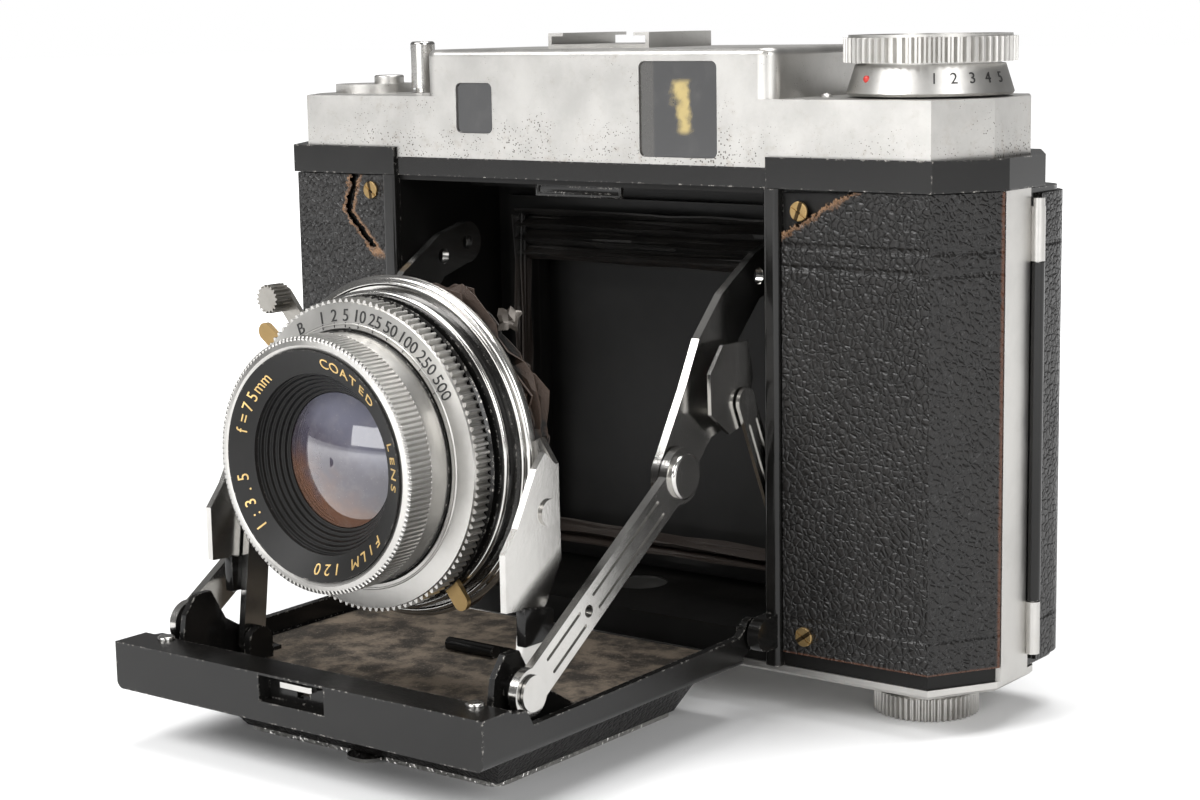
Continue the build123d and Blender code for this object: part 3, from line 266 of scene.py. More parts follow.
def finish(
    name, colour, metallic, roughness, *, spread=0.1, wear=0.0, bare=(0.42, 0.4, 0.37, 1), pits=0.0,
    pit_scale=1.1, low=0.0, reach=1.0, dust=0.0, powder=(0.24, 0.21, 0.17, 1), streak=None,
    ripple=0.00002, coat=0.0, pit_colour=(0.045, 0.035, 0.025, 1), stain_colour=(0.2, 0.12, 0.055, 1),
    tint=0.12, specular=0.5,
):
    """An aged surface: smudges, pits and stains, worn edges and dust over one base finish."""
    material = bpy.data.materials.new(name)
    material.use_nodes = True
    tree = material.node_tree
    bsdf = tree.nodes["Principled BSDF"]
    place = spot(tree)
    smudge = noise(tree, place, 0.12, 6.0, 0.62)
    fine = noise(tree, place, 1.5, 6.0, 0.7, stretch=streak)
    dark = tuple(c * (1 - tint * 2) for c in colour[:3]) + (1,)
    light = tuple(min(c * (1 + tint), 1) for c in colour[:3]) + (1,)
    shade = blend(tree, between(tree, smudge, 0.3, 0.7), dark, light)
    rough = plus(tree, roughness - spread, times(tree, smudge, spread * 1.4))
    rough = plus(tree, rough, times(tree, fine, spread * 0.8))
    metal = metallic
    height = times(tree, fine, 0.5)
    if pits:
        pit = use(tree, pit_group, Scale=pit_scale, Amount=pits, Low_Edge=low, Reach=reach)
        shade = blend(tree, times(tree, pit["Stain"], 0.5), shade, stain_colour)
        shade = blend(tree, times(tree, pit["Mask"], 0.85), shade, pit_colour)
        rough = blend(tree, pit["Mask"], rough, 0.75, "FLOAT")
        height = minus(tree, height, pit["Mask"])
        metal = blend(tree, times(tree, pit["Mask"], 0.7), metal, 0.0, "FLOAT")
    if wear:
        worn = use(tree, wear_group, Amount=wear)["Mask"]
        shade = blend(tree, worn, shade, bare)
        metal = blend(tree, worn, metal, 1.0, "FLOAT")
        rough = blend(tree, worn, rough, 0.38, "FLOAT")
    if dust:
        film = use(tree, dust_group, Amount=dust)["Mask"]
        shade = blend(tree, film, shade, powder)
        rough = blend(tree, film, rough, 0.9, "FLOAT")
        metal = blend(tree, film, metal, 0.0, "FLOAT")
    wire(tree, shade, bsdf.inputs["Base Color"])
    wire(tree, rough, bsdf.inputs["Roughness"])
    wire(tree, metal, bsdf.inputs["Metallic"])
    bsdf.inputs["Coat Weight"].default_value = coat
    bsdf.inputs["Specular IOR Level"].default_value = specular
    bump(tree, bsdf, height, ripple)
    return material


SATIN = finish(
    "satin aluminium", (0.5, 0.49, 0.47, 1), 1.0, 0.38, pits=0.62, pit_scale=2.1, low=79.0, reach=9.0,
    wear=0.25, bare=(0.6, 0.59, 0.56, 1), dust=0.12, streak=(0.25, 1.0, 1.0), tint=0.06,
)
CHROME = finish(
    "bright chrome", (0.52, 0.51, 0.49, 1), 1.0, 0.17, pits=0.35, pit_scale=2.2, spread=0.08, dust=0.1,
    tint=0.05,
)
SILVER = finish(
    "satin silver", (0.48, 0.47, 0.45, 1), 1.0, 0.33, pits=0.25, pit_scale=1.7, dust=0.1, tint=0.05,
    streak=(1.0, 1.0, 0.15),
)
BLACK = finish(
    "gloss black", (0.006, 0.0058, 0.0055, 1), 0.0, 0.17, spread=0.08, wear=0.7, dust=0.05, ripple=0.00001,
    powder=(0.13, 0.11, 0.09, 1), specular=0.3,
)
INNER = finish(
    "chamber black", (0.005, 0.0048, 0.0045, 1), 0.0, 0.36, spread=0.15, dust=0.1,
    powder=(0.06, 0.05, 0.04, 1), specular=0.2,
)
MATT = finish(
    "matt black", (0.008, 0.0078, 0.0075, 1), 0.0, 0.45, wear=0.2, dust=0.12,
    powder=(0.1, 0.09, 0.08, 1), specular=0.25,
)
BRASS = finish(
    "aged brass", (0.3, 0.205, 0.09, 1), 1.0, 0.4, pits=0.9, pit_scale=2.4, dust=0.3, wear=0.3,
    bare=(0.5, 0.38, 0.19, 1),
)


def shade_screw_slots(material, screws):
    """Paint each screw head's driver slot with painted shade and sink it with a bump, given its x, z and the
    slot's angle.
    """
    tree = material.node_tree
    bsdf = tree.nodes["Principled BSDF"]
    base = bsdf.inputs["Base Color"].links[0].from_socket
    x, y, z = parts(tree, spot(tree))
    cut = 0.0
    for across, up, angle in screws:
        turn = radians(angle)
        dx, dz = minus(tree, x, across), minus(tree, z, up)
        off = minus(tree, times(tree, dx, sin(turn)), times(tree, dz, cos(turn)))
        reach = calc(tree, "MAXIMUM", calc(tree, "ABSOLUTE", dx), calc(tree, "ABSOLUTE", dz))
        line = between(tree, calc(tree, "ABSOLUTE", off), 0.34, 0.24)
        line = times(tree, line, between(tree, reach, 3.0, 2.9))
        cut = calc(tree, "MAXIMUM", cut, line)
    # painted shade: the near-black brown laid along each slot stands for the shade inside it
    wire(tree, blend(tree, times(tree, cut, 0.9), base, (0.02, 0.012, 0.006, 1)), bsdf.inputs["Base Color"])
    normal = bsdf.inputs["Normal"].links[0].from_socket
    bump(tree, bsdf, times(tree, cut, -1.0), 0.0002, 1.0, normal)


shade_screw_slots(BRASS, ((41.8, 70.6, 70), (42.5, 6.6, 35), (-43.2, 71.1, 100), (-43.2, 6.6, 20)))
STEEL = finish("spring steel", (0.27, 0.26, 0.24, 1), 1.0, 0.28, pits=0.5, dust=0.15)
INK = finish("black ink", (0.012, 0.012, 0.012, 1), 0.0, 0.45, dust=0.1)
GOLD = finish("gold lettering", (0.72, 0.5, 0.2, 1), 0.55, 0.38, dust=0.2, tint=0.2)
WHITE = finish("white lettering", (0.62, 0.6, 0.55, 1), 0.0, 0.5, dust=0.2)
RED = finish("red paint", (0.42, 0.02, 0.012, 1), 0.0, 0.35, dust=0.05)
FOIL = finish("torn flake", (0.06, 0.052, 0.045, 1), 0.5, 0.22, dust=0.1)


def leather(name, tears=False, lines=(), glue=()):
    """Black pebbled leather with pressed lines, brown where it is torn, cut away over the tears."""
    material = finish(
        name, (0.009, 0.008, 0.0075, 1), 0.0, 0.34, spread=0.12, dust=0.06,
        powder=(0.1, 0.085, 0.07, 1), specular=0.35,
    )
    tree = material.node_tree
    bsdf = tree.nodes["Principled BSDF"]
    base = bsdf.inputs["Base Color"].links[0].from_socket
    place = spot(tree)
    x, y, z = parts(tree, place)
    grain = use(tree, grain_group, Scale=0.95, Depth=1.0)
    height = grain["Height"]
    for level in lines:
        off = away(tree, z, level)
        groove = minus(tree, 1.0, between(tree, off, 0.15, 0.7))
        height = minus(tree, height, times(tree, groove, 2.2))
    shade = blend(tree, times(tree, minus(tree, 1.0, grain["Shade"]), 0.5), base, (0.004, 0.004, 0.004, 1))
    crumb = noise(tree, place, 1.1, 6.0, 0.72)
    for axis, level, width in glue:
        off = away(tree, {"x": x, "z": z}[axis], level)
        ragged = plus(tree, off, times(tree, crumb, width))
        line = minus(tree, 1.0, between(tree, ragged, width * 0.6, width * 1.25))
        shade = blend(tree, times(tree, line, 0.6), shade, (0.11, 0.042, 0.02, 1))
    if tears:
        rag = times(tree, minus(tree, crumb, 0.5), 5.0)
        # the corner peeled off at the right wing's top left, and the gash beside the left wing's opening
        slope = plus(tree, times(tree, minus(tree, x, 38.5), 0.55), minus(tree, 73.6, z))
        corner = minus(tree, 6.6, plus(tree, slope, rag))
        corner = calc(tree, "MINIMUM", corner, minus(tree, x, 30.0))
        kink = minus(tree, z, 67.4)
        bend = calc(tree, "MAXIMUM", times(tree, kink, 0.3), times(tree, kink, -0.95))
        off = minus(tree, x, plus(tree, bend, -48.6))
        off = calc(tree, "ABSOLUTE", plus(tree, off, times(tree, rag, 0.6)))
        gash = minus(tree, plus(tree, 0.55, times(tree, crumb, 0.5)), off)
        gash = calc(tree, "MINIMUM", gash, times(tree, minus(tree, z, 61.5), 0.4))
        torn = calc(tree, "MAXIMUM", corner, gash)
        frayed = blend(tree, between(tree, crumb, 0.35, 0.65), (0.06, 0.03, 0.015, 1), (0.2, 0.11, 0.055, 1))
        shade = blend(tree, between(tree, torn, -0.9, -0.4), shade, frayed)
        gone = between(tree, torn, -0.05, 0.05)
        wire(tree, minus(tree, 1.0, gone), bsdf.inputs["Alpha"])
    wire(tree, shade, bsdf.inputs["Base Color"])
    bump(tree, bsdf, height, 0.00018, 0.75)
    return material


LEATHER = leather(
    "front leather", tears=True, lines=(65.4, 62.2, 8.9),
    glue=(("z", 3.7, 0.5), ("x", 69.75, 0.35), ("x", -66.45, 0.35)),
)
BACK_LEATHER = leather("back leather", lines=(65.4, 8.9))
DOOR_LEATHER = leather("door leather")


def floor_finish():
    """The door: gloss black outside, a dusty brown-grey worn floor inside its rim."""
    material = finish(
        "door black", (0.006, 0.0058, 0.0055, 1), 0.0, 0.18, spread=0.08, wear=0.85, dust=0.06,
        powder=(0.13, 0.11, 0.09, 1), specular=0.3,
    )
    tree = material.node_tree
    bsdf = tree.nodes["Principled BSDF"]
    base = bsdf.inputs["Base Color"].links[0].from_socket
    rough = bsdf.inputs["Roughness"].links[0].from_socket
    place = spot(tree)
    x, y, z = parts(tree, place)
    inside = between(tree, calc(tree, "ABSOLUTE", x), 33.8, 33.2)
    inside = times(tree, inside, between(tree, y, -76.4, -75.8))
    inside = times(tree, inside, minus(tree, 1.0, between(tree, z, 3.9, 4.6)))
    inside = times(tree, inside, between(tree, z, 3.2, 3.4))
    patch = between(tree, noise(tree, place, 0.18, 8.0, 0.7), 0.4, 0.62)
    grime = blend(tree, patch, (0.03, 0.025, 0.02, 1), (0.15, 0.12, 0.09, 1))
    speck = between(tree, noise(tree, place, 3.2, 4.0, 0.7), 0.6, 0.66)
    grime = blend(tree, times(tree, speck, 0.6), grime, (0.3, 0.26, 0.21, 1))
    wire(tree, blend(tree, inside, base, grime), bsdf.inputs["Base Color"])
    wire(tree, blend(tree, inside, rough, 0.72, "FLOAT"), bsdf.inputs["Roughness"])
    return material


DOOR = floor_finish()


def plate_finish():
    """Silver edge around a leather field on the plate that covers the door's bulge."""
    material = leather("edged leather")
    tree = material.node_tree
    bsdf = tree.nodes["Principled BSDF"]
    x, y, z = parts(tree, spot(tree))
    from_side = minus(tree, PLATE_HALF[0], calc(tree, "ABSOLUTE", x))
    from_end = minus(tree, PLATE_HALF[1], away(tree, y, PLATE_Y))
    rim = between(tree, calc(tree, "MINIMUM", from_side, from_end), 1.1, 0.9)
    scratch = noise(tree, spot(tree), 1.2, 6.0, 0.7)
    silver = blend(tree, scratch, (0.42, 0.41, 0.39, 1), (0.52, 0.51, 0.49, 1))
    base = bsdf.inputs["Base Color"].links[0].from_socket
    rough = bsdf.inputs["Roughness"].links[0].from_socket
    wire(tree, blend(tree, rim, base, silver), bsdf.inputs["Base Color"])
    wire(tree, blend(tree, rim, rough, 0.32, "FLOAT"), bsdf.inputs["Roughness"])
    wire(tree, rim, bsdf.inputs["Metallic"])
    return material


PLATE_HALF = (24.6, 21.0)
PLATE_Y = -46.0
EDGED = plate_finish()


def glass(name, colour, roughness=0.03, dusty=0.25, painted_coating_reflection=None):
    """Dark optical glass with dust on it; for a coated lens, the coloured reflection of its coat is painted
    into the base colour.
    """
    material = bpy.data.materials.new(name)
    material.use_nodes = True
    tree = material.node_tree
    bsdf = tree.nodes["Principled BSDF"]
    place = spot(tree)
    x, y, z = parts(tree, place)
    shade = colour
    if painted_coating_reflection:
        # painted reflection: the coat's tints shift from brown to violet to blue-grey towards the lens's top
        # right
        rise = plus(tree, times(tree, x, 0.03), times(tree, minus(tree, z, LENS_Z), 0.05))
        swirl = plus(tree, rise, times(tree, noise(tree, place, 0.12, 3.0), 0.7))
        tone = blend(tree, between(tree, swirl, 0.0, 0.32), painted_coating_reflection[0], painted_coating_reflection[1])
        shade = blend(tree, between(tree, swirl, 0.3, 0.75), tone, painted_coating_reflection[2])
    fleck = between(tree, cells(tree, place, 1.9), 0.09, 0.03)
    film = between(tree, noise(tree, place, 0.35, 8.0, 0.7), 0.45, 0.8)
    veil = plus(tree, times(tree, film, dusty * 0.5), times(tree, fleck, dusty * 2), clamp=True)
    wire(tree, blend(tree, veil, shade, (0.32, 0.3, 0.28, 1)), bsdf.inputs["Base Color"])
    wire(tree, blend(tree, veil, roughness, 0.6, "FLOAT"), bsdf.inputs["Roughness"])
    bsdf.inputs["Coat Weight"].default_value = 1.0
    bsdf.inputs["Coat Roughness"].default_value = 0.04
    bsdf.inputs["IOR"].default_value = 1.6
    return material


COATED = glass(
    "coated lens", (0.02, 0.02, 0.03, 1),
    painted_coating_reflection=((0.11, 0.055, 0.035, 1), (0.045, 0.04, 0.055, 1), (0.1, 0.1, 0.13, 1)),
)
REAR_GLASS = glass("rear lens glass", (0.02, 0.022, 0.03, 1))
RED_GLASS = glass("red glass", (0.3, 0.015, 0.01, 1), dusty=0.15)


def window_glass():
    """Dark viewfinder glass with a painted warm amber reflection of its bright frame and a pale painted
    reflection beside it.
    """
    material = glass("finder glass", (0.012, 0.012, 0.013, 1), dusty=0.12)
    tree = material.node_tree
    bsdf = tree.nodes["Principled BSDF"]
    base = bsdf.inputs["Base Color"].links[0].from_socket
    place = spot(tree)
    x, y, z = parts(tree, place)
    # painted reflection: an amber band near x 20.6 mm, from z 81 to 90 mm
    wave = times(tree, minus(tree, noise(tree, place, 0.35, 5.0, 0.6), 0.5), 5.0)
    off = calc(tree, "ABSOLUTE", plus(tree, minus(tree, x, 20.6), wave))
    band = minus(tree, 1.0, between(tree, off, 0.2, 2.1))
    band = times(tree, band, times(tree, between(tree, z, 81.0, 82.2), between(tree, z, 90.0, 88.8)))
    # painted reflection: a pale grey patch on the glass between x 5 and 15 mm
    side = minus(tree, 1.0, between(tree, x, 15.0, 15.5))
    side = times(tree, side, between(tree, x, 5.0, 6.0))
    shade = blend(tree, times(tree, side, 0.7), base, (0.05, 0.047, 0.042, 1))
    wire(tree, blend(tree, times(tree, band, 0.8), shade, (0.46, 0.35, 0.12, 1)), bsdf.inputs["Base Color"])
    return material


WINDOW = window_glass()


def turned_finish(name, source, count=None, pitch=None, depth=0.00025, low=None, high=None):
    """A finish with count straight flutes round the lens axis, or with rings at a pitch in millimetres."""
    material = source.copy()
    material.name = name
    tree = material.node_tree
    bsdf = tree.nodes["Principled BSDF"]
    place = spot(tree)
    x, y, z = parts(tree, place)
    if pitch:
        turn = times(tree, y, 2 * pi / pitch)
    else:
        turn = times(tree, calc(tree, "ARCTAN2", minus(tree, z, LENS_Z), x), count)
    wave = calc(tree, "SINE", turn)
    if low is not None:
        band = times(tree, between(tree, y, low, low + 0.2), between(tree, y, high, high - 0.2))
        wave = times(tree, wave, band)
    bump(tree, bsdf, wave, depth, 1.0)
    return material


RIM = turned_finish("knurled rim", SILVER, count=150, low=-76.0, high=-71.6, depth=0.00022)
CONE = turned_finish("ridged cone", MATT, pitch=0.62, depth=0.0002)

FINISHES = (
    (SATIN, ("top_housing", "accessory_shoe", "counter_skirt", "release_plate", "window_shutter")),
    (SILVER, ("advance_knob", "back_latch", "side_strips", "speed_ring", "bottom_plate",
        "spool_knob_left", "spool_knob_right", "tripod_bush")),
    (CHROME, ("standard_ring", "lower_strut_left", "lower_strut_right", "upper_strut_left",
        "upper_strut_right", "strut_plates", "stays", "stay_rails", "door_rivets", "door_latch",
        "door_foot", "release_button", "standard_plate", "cradle_arms")),
    (STEEL, ("cocking_lever", "pressure_springs")),
    (EDGED, ("bulge_plate",)),
    (RIM, ("lens_barrel",)),
    (BLACK, ("top_band", "opening_posts", "door_brackets", "back_cover", "shutter_body", "focus_wheel")),
    (INNER, ("body_casting", "film_gate_frame")),
    (DOOR, ("door_tray",)),
    (LEATHER, ("front_leather",)),
    (BACK_LEATHER, ("back_leather",)),
    (DOOR_LEATHER, ("door_bulge", "bellows_front", "bellows_rear")),
    (BRASS, ("brass_screws", "release_lever", "aperture_lever")),
    (MATT, ("name_ring", "pressure_plate", "eyepiece", "supply_spool", "takeup_spool",
        "shutter_blades", "aperture_blades")),
    (CONE, ("lens_cone",)),
    (COATED, ("front_lens",)),
    (REAR_GLASS, ("rear_lens",)),
    (WINDOW, ("finder_windows",)),
    (RED_GLASS, ("red_window",)),
)
for material, names in FINISHES:
    for name in names:
        holder = nodes[name]
        if not holder.data.materials:
            holder.data.materials.append(material)
        for place in holder.material_slots:
            place.material = material


# ---------------------------------------------------------------- modelled pieces


def pick(test):
    """In edit mode, select only the corners for which test is true."""
    bpy.ops.mesh.select_all(action="DESELECT")
    shape = bmesh.from_edit_mesh(bpy.context.object.data)
    for corner in shape.verts:
        corner.select = bool(test(corner.co))
    shape.select_flush(True)
    bmesh.update_edit_mesh(bpy.context.object.data)


def begin(add, **where):
    """Add one primitive on its own and go into edit mode."""
    bpy.ops.object.select_all(action="DESELECT")
    add(**where)
    bpy.ops.object.transform_apply(location=True, rotation=True, scale=True)
    bpy.ops.object.mode_set(mode="EDIT")
    bpy.ops.mesh.select_mode(type="VERT")


def apply_modifier(kind, **settings):
    made = bpy.context.object.modifiers.new(kind, kind)
    for key, value in settings.items():
        setattr(made, key, value)
    bpy.ops.object.modifier_apply(modifier=made.name)


def end(name, material, body, stands_for=(), angle=30):
    """Leave edit mode and finish a piece: outward faces, smooth shading, its finish and its body."""
    if bpy.context.object.mode == "EDIT":
        bpy.ops.mesh.select_all(action="SELECT")
        bpy.ops.mesh.normals_make_consistent(inside=False)
        bpy.ops.object.mode_set(mode="OBJECT")
    piece = bpy.context.object
    piece.name = name
    piece.data.name = name
    piece.data.materials.clear()
    piece.data.materials.append(material)
    bpy.ops.object.shade_smooth_by_angle(angle=radians(angle))
    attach(piece, body)
    if stands_for:
        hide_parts(*stands_for)
    return piece


def joined(pieces):
    """One object from several."""
    bpy.ops.object.select_all(action="DESELECT")
    for piece in pieces:
        piece.select_set(True)
    bpy.context.view_layer.objects.active = pieces[0]
    if len(pieces) > 1:
        bpy.ops.object.join()
    return bpy.context.object


def ring(name, radius, y, section, material, body):
    """A round bead about the lens axis."""
    begin(
        bpy.ops.mesh.primitive_circle_add, vertices=12, radius=section * MM,
        location=(radius * MM, y * MM, LENS_Z * MM),
    )
    bpy.ops.mesh.select_all(action="SELECT")
    bpy.ops.mesh.spin(steps=120, angle=2 * pi, center=(0, y * MM, LENS_Z * MM), axis=(0, 1, 0))
    bpy.ops.mesh.select_all(action="SELECT")
    bpy.ops.mesh.remove_doubles(threshold=0.00001)
    return end(name, material, body, angle=80)


def lettering(name, signs, size, frame_of, thickness, material, body):
    """Signs cut from thin sheet. frame_of gives a sign's right, up and outward directions and its centre."""
    made = []
    for text, where in signs:
        bpy.ops.object.select_all(action="DESELECT")
        bpy.ops.object.text_add()
        sign = bpy.context.object
        sign.data.body = text
        sign.data.align_x = "CENTER"
        sign.data.align_y = "CENTER"
        sign.data.size = size * MM
        sign.data.extrude = thickness * MM
        sign.data.resolution_u = 4
        bpy.ops.object.convert(target="MESH")
        across, up, out, centre = frame_of(where)
        place = Matrix((across, up, out)).transposed().to_4x4()
        place.translation = Vector(centre) * MM
        sign = bpy.context.object
        sign.matrix_world = place
        bpy.ops.object.transform_apply(location=True, rotation=True, scale=True)
        made.append(sign)
    joined(made)
    return end(name, material, body)


def on_ring(radius, y, lean=0.0):
    """Directions for a sign on a ring that faces -Y, leaning inwards by an angle towards the axis."""

    def frame_of(angle):
        turn = radians(angle)
        outward = Vector((cos(turn), 0, sin(turn)))
        across = Vector((sin(turn), 0, -cos(turn)))
        up = outward * cos(lean) - Vector((0, 1, 0)) * sin(lean)
        out = across.cross(up)
        centre = outward * radius + Vector((0, y, LENS_Z))
        return across, up, out, centre

    return frame_of


SIGN_THICKNESS = 0.04
SPEEDS = [
    ("B", 119), ("1", 106), ("2", 99), ("5", 92.5), ("10", 85), ("25", 76.5), ("50", 68), ("100", 58),
    ("250", 46), ("500", 34),
]
SPEED_LEAN = -radians(8.1)
number_line = on_ring(20.15, -67.49, SPEED_LEAN)
lettering("speed_numbers", SPEEDS, 2.5, number_line, SIGN_THICKNESS, INK, "speed_ring")
ticks = [("I", angle) for _, angle in SPEEDS]
tick_line = on_ring(18.85, -67.68, SPEED_LEAN)
lettering("speed_ticks", ticks, 1.1, tick_line, SIGN_THICKNESS, INK, "speed_ring")

GOLD_LINES = (("1:3.5", 207), ("f=75mm", 147), ("COATED", 62), ("LENS", 5), ("FILM 120", 295))
SPACING = 7.4
gold = []
for words, middle in GOLD_LINES:
    for index, letter in enumerate(words):
        if letter != " ":
            gold.append((letter, middle - (index - (len(words) - 1) / 2) * SPACING))
RIM_LEAN = radians(27.2)
gold_line = on_ring(14.65, -75.54, RIM_LEAN)
lettering("gold_letters", gold, 2.4, gold_line, SIGN_THICKNESS, GOLD, "standard")


KNOB_X = 54.4
SKIRT_LEAN = radians(17.6)


def on_skirt(angle):
    """Directions for a sign on the flared skirt under the advance knob."""
    turn = radians(angle)
    outward = Vector((cos(turn), sin(turn), 0))
    up = Vector((0, 0, 1)) * cos(SKIRT_LEAN) - outward * sin(SKIRT_LEAN)
    across = Vector((-sin(turn), cos(turn), 0))
    centre = Vector((KNOB_X, 0, 89.6)) + outward * 11.68
    return across, up, across.cross(up), centre


COUNTS = [(str(number + 1), -58 + 14 * number) for number in range(5)]
lettering("counter_numbers", COUNTS, 2.3, on_skirt, 0.05, INK, "advance")
dot_place = on_skirt(-112)[3] * MM
begin(bpy.ops.mesh.primitive_uv_sphere_add, segments=16, ring_count=8, radius=0.55 * MM, location=dot_place)
bpy.ops.transform.resize(value=(1, 0.5, 1), center_override=dot_place)
end("counter_dot", RED, "advance", angle=80)

ring("shutter_rim_front", 22.75, -61.4, 0.45, CHROME, "standard")
ring("shutter_rim_rear", 23.9, -59.0, 0.4, CHROME, "standard")
ring("scale_line", 22.62, -60.4, 0.09, WHITE, "standard")
ring("speed_ring_bead", 19.0, -67.5, 0.22, SILVER, "speed_ring")

# index triangle at the top of the shutter, pointing at the speeds
begin(
    bpy.ops.mesh.primitive_cylinder_add, vertices=3, radius=1.0 * MM, depth=0.3 * MM, rotation=(pi / 2, 0, 0),
    location=(0, -67.7 * MM, (LENS_Z + 17.7) * MM),
)
bpy.ops.mesh.select_all(action="SELECT")
bpy.ops.mesh.bevel(offset=0.08 * MM, segments=1)
end("index_mark", INK, "standard")


def bellows_finish(name, edge_of, strength):
    """Worn black folded cloth with brown frayed edges."""
    material = finish(
        name, (0.01, 0.009, 0.008, 1), 0.0, 0.5, dust=0.35, powder=(0.06, 0.045, 0.033, 1), tint=0.3,
    )
    tree = material.node_tree
    bsdf = tree.nodes["Principled BSDF"]
    base = bsdf.inputs["Base Color"].links[0].from_socket
    place = spot(tree)
    x, y, z = parts(tree, place)
    frayed = plus(tree, edge_of(tree, x, y, z), times(tree, noise(tree, place, 0.7, 6.0, 0.7), 2.4))
    mask = between(tree, frayed, 1.0, 1.7)
    shade = blend(tree, times(tree, mask, strength), base, (0.05, 0.028, 0.017, 1))
    wire(tree, shade, bsdf.inputs["Base Color"])
    bump(tree, bsdf, noise(tree, place, 2.6, 6.0, 0.75), 0.00025, 0.8)
    return material


def outer_edge(tree, x, y, z):
    rise = minus(tree, z, LENS_Z)
    far = calc(tree, "SQRT", plus(tree, times(tree, x, x), times(tree, rise, rise)))
    return minus(tree, far, 23.0)


def lower_edge(tree, x, y, z):
    return times(tree, minus(tree, 59.0, z), 0.25)


FRAYED = bellows_finish("frayed bellows", outer_edge, 0.75)
FOLDED = bellows_finish("folded bellows", lower_edge, 0.25)

# torn folds behind the lens: a stack of thin eight-sided sheets with a ragged rim
HALF_WIDTHS = (22.4, 23.0, 22.0, 23.2, 21.8, 22.8, 21.6)
sheets = []
for index, half in enumerate(HALF_WIDTHS):
    y = -52.2 - index * 0.62
    begin(
        bpy.ops.mesh.primitive_circle_add, vertices=8, radius=half / cos(pi / 8) * MM, fill_type="NGON",
        rotation=(pi / 2, pi / 8, 0), location=(0, y * MM, LENS_Z * MM),
    )
    bpy.ops.mesh.select_all(action="SELECT")
    bpy.ops.mesh.inset(thickness=8.5 * MM, depth=0)
    bpy.ops.mesh.delete(type="FACE")
    bpy.ops.mesh.select_all(action="SELECT")
    bpy.ops.mesh.subdivide(number_cuts=7)
    pick(lambda co: (co.x**2 + (co.z - LENS_Z * MM) ** 2) ** 0.5 > 21.0 * MM)
    bpy.ops.transform.vertex_random(offset=0.0007, uniform=1.0, normal=0.0, seed=index + 3)
    bpy.ops.object.mode_set(mode="OBJECT")
    apply_modifier("SOLIDIFY", thickness=0.25 * MM, offset=0)
    sheets.append(bpy.context.object)
joined(sheets)
end("bellows_front_folds", FRAYED, "standard", ("bellows_front",))

# a torn flake of lining standing off the folds
begin(
    bpy.ops.mesh.primitive_grid_add, x_subdivisions=5, y_subdivisions=4, size=3.2 * MM,
    rotation=(radians(75), 0, radians(20)), location=(16.6 * MM, -52.6 * MM, 57.2 * MM),
)
bpy.ops.mesh.select_all(action="SELECT")
bpy.ops.transform.vertex_random(offset=0.0004, uniform=1.0, normal=0.0, seed=5)
bpy.ops.object.mode_set(mode="OBJECT")
apply_modifier("SOLIDIFY", thickness=0.12 * MM, offset=0)
end("torn_flake", FOIL, "standard")


def pleats(start, end_corner, steps, seed):
    """A folded strip: one edge extruded to and fro, then roughened and given its thickness."""
    a, b = Vector(start), Vector(end_corner)
    begin(bpy.ops.mesh.primitive_plane_add, size=1 * MM, location=(0, 0, -0.5))
    shape = bmesh.from_edit_mesh(bpy.context.object.data)
    shape.verts.ensure_lookup_table()
    first = Vector(steps[0])
    for corner, spot_on in zip(shape.verts, (a, b, a + first, b + first)):
        corner.co = spot_on * MM
    bmesh.update_edit_mesh(bpy.context.object.data)
    moved = first
    for step in steps[1:]:
        near_a, near_b = (a + moved) * MM, (b + moved) * MM
        pick(lambda co: (co - near_a).length < 0.00001 or (co - near_b).length < 0.00001)
        bpy.ops.mesh.extrude_region_move(TRANSFORM_OT_translate={"value": Vector(step) * MM})
        moved = moved + Vector(step)
    bpy.ops.mesh.select_all(action="SELECT")
    bpy.ops.mesh.subdivide(number_cuts=6)
    bpy.ops.transform.vertex_random(offset=0.00028, uniform=1.0, normal=0.0, seed=seed)
    bpy.ops.object.mode_set(mode="OBJECT")
    apply_modifier("SOLIDIFY", thickness=0.3 * MM, offset=0)
    return bpy.context.object


ZIGZAG = 3.2
GATE_Y = 3.9
top_steps = [(0, ZIGZAG * (-1) ** n, -1.25) for n in range(7)]
low_steps = [(0, ZIGZAG * (-1) ** n, 0.9) for n in range(3)]
right_steps = [(-1.0, ZIGZAG * (-1) ** n, 0) for n in range(4)]
left_steps = [(0.8, ZIGZAG * (-1) ** n, 0) for n in range(2)]
folds = [
    pleats((-28.6, GATE_Y, 67.0), (28.6, GATE_Y, 67.0), top_steps, 1),
    pleats((28.6, GATE_Y, 10.2), (-28.6, GATE_Y, 10.2), low_steps, 2),
    pleats((28.8, GATE_Y, 66.0), (28.8, GATE_Y, 10.5), right_steps, 3),
    pleats((-28.8, GATE_Y, 10.5), (-28.8, GATE_Y, 66.0), left_steps, 4),
]
joined(folds)
end("bellows_rear_folds", FOLDED, "film_frame", ("bellows_rear",))

# catch plate behind the opening's upper lip, with its slot
begin(
    bpy.ops.mesh.primitive_cube_add, size=1, location=(0, -14.6 * MM, 72.3 * MM),
    scale=(17 * MM, 0.8 * MM, 2.2 * MM),
)
pick(lambda co: co.y < -14.9 * MM)
bpy.ops.mesh.inset(thickness=0.55 * MM, depth=0)
bpy.ops.mesh.extrude_region_move(TRANSFORM_OT_translate={"value": (0, 0.5 * MM, 0)})
bpy.ops.object.mode_set(mode="OBJECT")
apply_modifier("BEVEL", width=0.12 * MM, segments=2)
end("catch_plate", BLACK, "body")

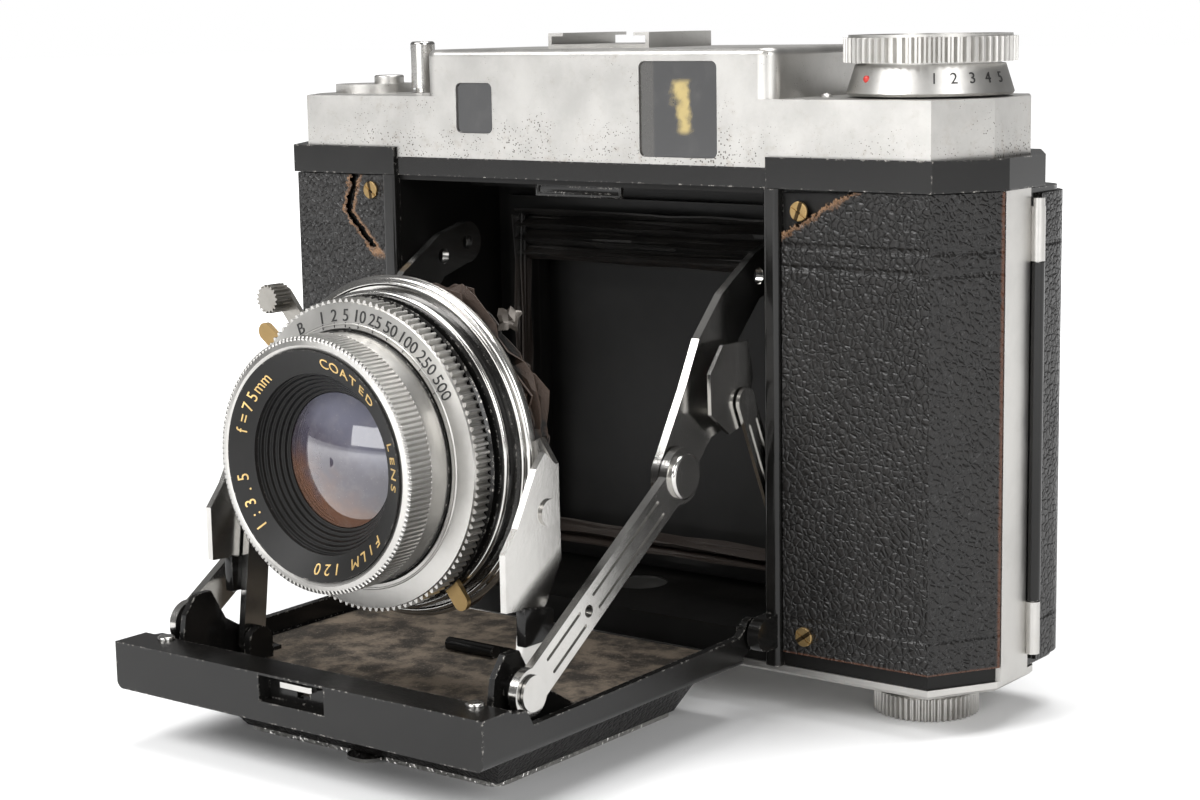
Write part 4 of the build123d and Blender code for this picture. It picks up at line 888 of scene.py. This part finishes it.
# black clips that hold the feet of the standard's legs
clips = []
for side in (-1, 1):
    begin(
        bpy.ops.mesh.primitive_cube_add, size=1, location=(side * 28.5 * MM, -62.8 * MM, 16.4 * MM),
        scale=(1.7 * MM, 6.4 * MM, 4.4 * MM),
    )
    pick(lambda co: co.z > 18 * MM and co.y < -65 * MM)
    bpy.ops.transform.translate(value=(0, 0, 1.3 * MM))
    bpy.ops.object.mode_set(mode="OBJECT")
    apply_modifier("BEVEL", width=0.3 * MM, segments=2)
    clips.append(bpy.context.object)
joined(clips)
end("leg_clips", BLACK, "standard")

# ---------------------------------------------------------------- floor, light and camera

FLOOR_Z = min(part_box("bulge_plate")[0].z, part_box("spool_knob_left")[0].z)


def plain(name, colour, roughness):
    """Pale paper with a faint mottled tone."""
    material = bpy.data.materials.new(name)
    material.use_nodes = True
    tree = material.node_tree
    bsdf = tree.nodes["Principled BSDF"]
    tone = noise(tree, spot(tree), 0.01, 3.0)
    darker = tuple(c * 0.97 for c in colour[:3]) + (1,)
    wire(tree, blend(tree, tone, darker, colour), bsdf.inputs["Base Color"])
    bsdf.inputs["Roughness"].default_value = roughness
    bsdf.inputs["Specular IOR Level"].default_value = 0.2
    x, y, _ = parts(tree, spot(tree))
    far = calc(tree, "SQRT", plus(tree, times(tree, x, x), times(tree, y, y)))
    bsdf.inputs["Emission Color"].default_value = (1, 1, 1, 1)
    wire(tree, between(tree, far, 120.0, 600.0), bsdf.inputs["Emission Strength"])
    return material


bpy.ops.object.select_all(action="DESELECT")
bpy.ops.mesh.primitive_plane_add(size=12, location=(0, 0, FLOOR_Z - 0.0001))
ground = bpy.context.object
ground.name = "studio_floor"
ground.data.materials.append(plain("studio paper", (0.93, 0.93, 0.93, 1), 0.6))


def softbox(name, place, target, size, power, colour=(1, 1, 1)):
    data = bpy.data.lights.new(name, "AREA")
    data.shape = "RECTANGLE"
    data.size, data.size_y = size
    data.energy = power
    data.color = colour
    lamp = bpy.data.objects.new(name, data)
    bpy.context.scene.collection.objects.link(lamp)
    lamp.location = place
    lamp.rotation_euler = (Vector(target) - Vector(place)).to_track_quat("-Z", "Y").to_euler()
    return lamp


softbox("key_softbox", (-0.35, -0.75, 0.75), (0, -0.02, 0.04), (0.6, 0.5), 11.0)
softbox("fill_softbox", (0.85, -0.45, 0.45), (0, 0, 0.04), (0.5, 0.6), 5.5)
softbox("top_softbox", (0.05, 0.15, 0.95), (0, 0, 0.04), (0.8, 0.6), 9.0)
softbox("low_softbox", (0.0, -1.1, 0.2), (0, 0, 0.03), (0.9, 0.25), 3.0)

world = bpy.data.worlds.new("studio")
world.use_nodes = True
world.node_tree.nodes["Background"].inputs["Color"].default_value = (1, 1, 1, 1)
tree = world.node_tree
back = tree.nodes["Background"]
seen = tree.nodes.new("ShaderNodeLightPath")
wire(tree, blend(tree, seen.outputs["Is Camera Ray"], 0.2, 1.0, "FLOAT"), back.inputs["Strength"])
bpy.context.scene.world = world

YAW, PITCH, ROLL = radians(37.48), radians(9.34), radians(-0.96)
CAMERA_PLACE = Vector((224.61, -303.06, 98.91)) * MM
FOCAL_LENGTH = 69.6
ahead = Vector((-sin(YAW) * cos(PITCH), cos(YAW) * cos(PITCH), -sin(PITCH)))
right = Vector((cos(YAW), sin(YAW), 0))
above = right.cross(ahead)
turned_right = right * cos(ROLL) + above * sin(ROLL)
turned_up = above * cos(ROLL) - right * sin(ROLL)
lens = bpy.data.cameras.new("camera")
lens.lens = FOCAL_LENGTH
lens.sensor_width = 36
lens.clip_start = 0.01
camera = bpy.data.objects.new("camera", lens)
bpy.context.scene.collection.objects.link(camera)
placed = Matrix((turned_right, turned_up, -ahead)).transposed().to_4x4()
placed.translation = CAMERA_PLACE
camera.matrix_world = placed
bpy.context.scene.camera = camera
bpy.context.scene.view_settings.view_transform = "Standard"
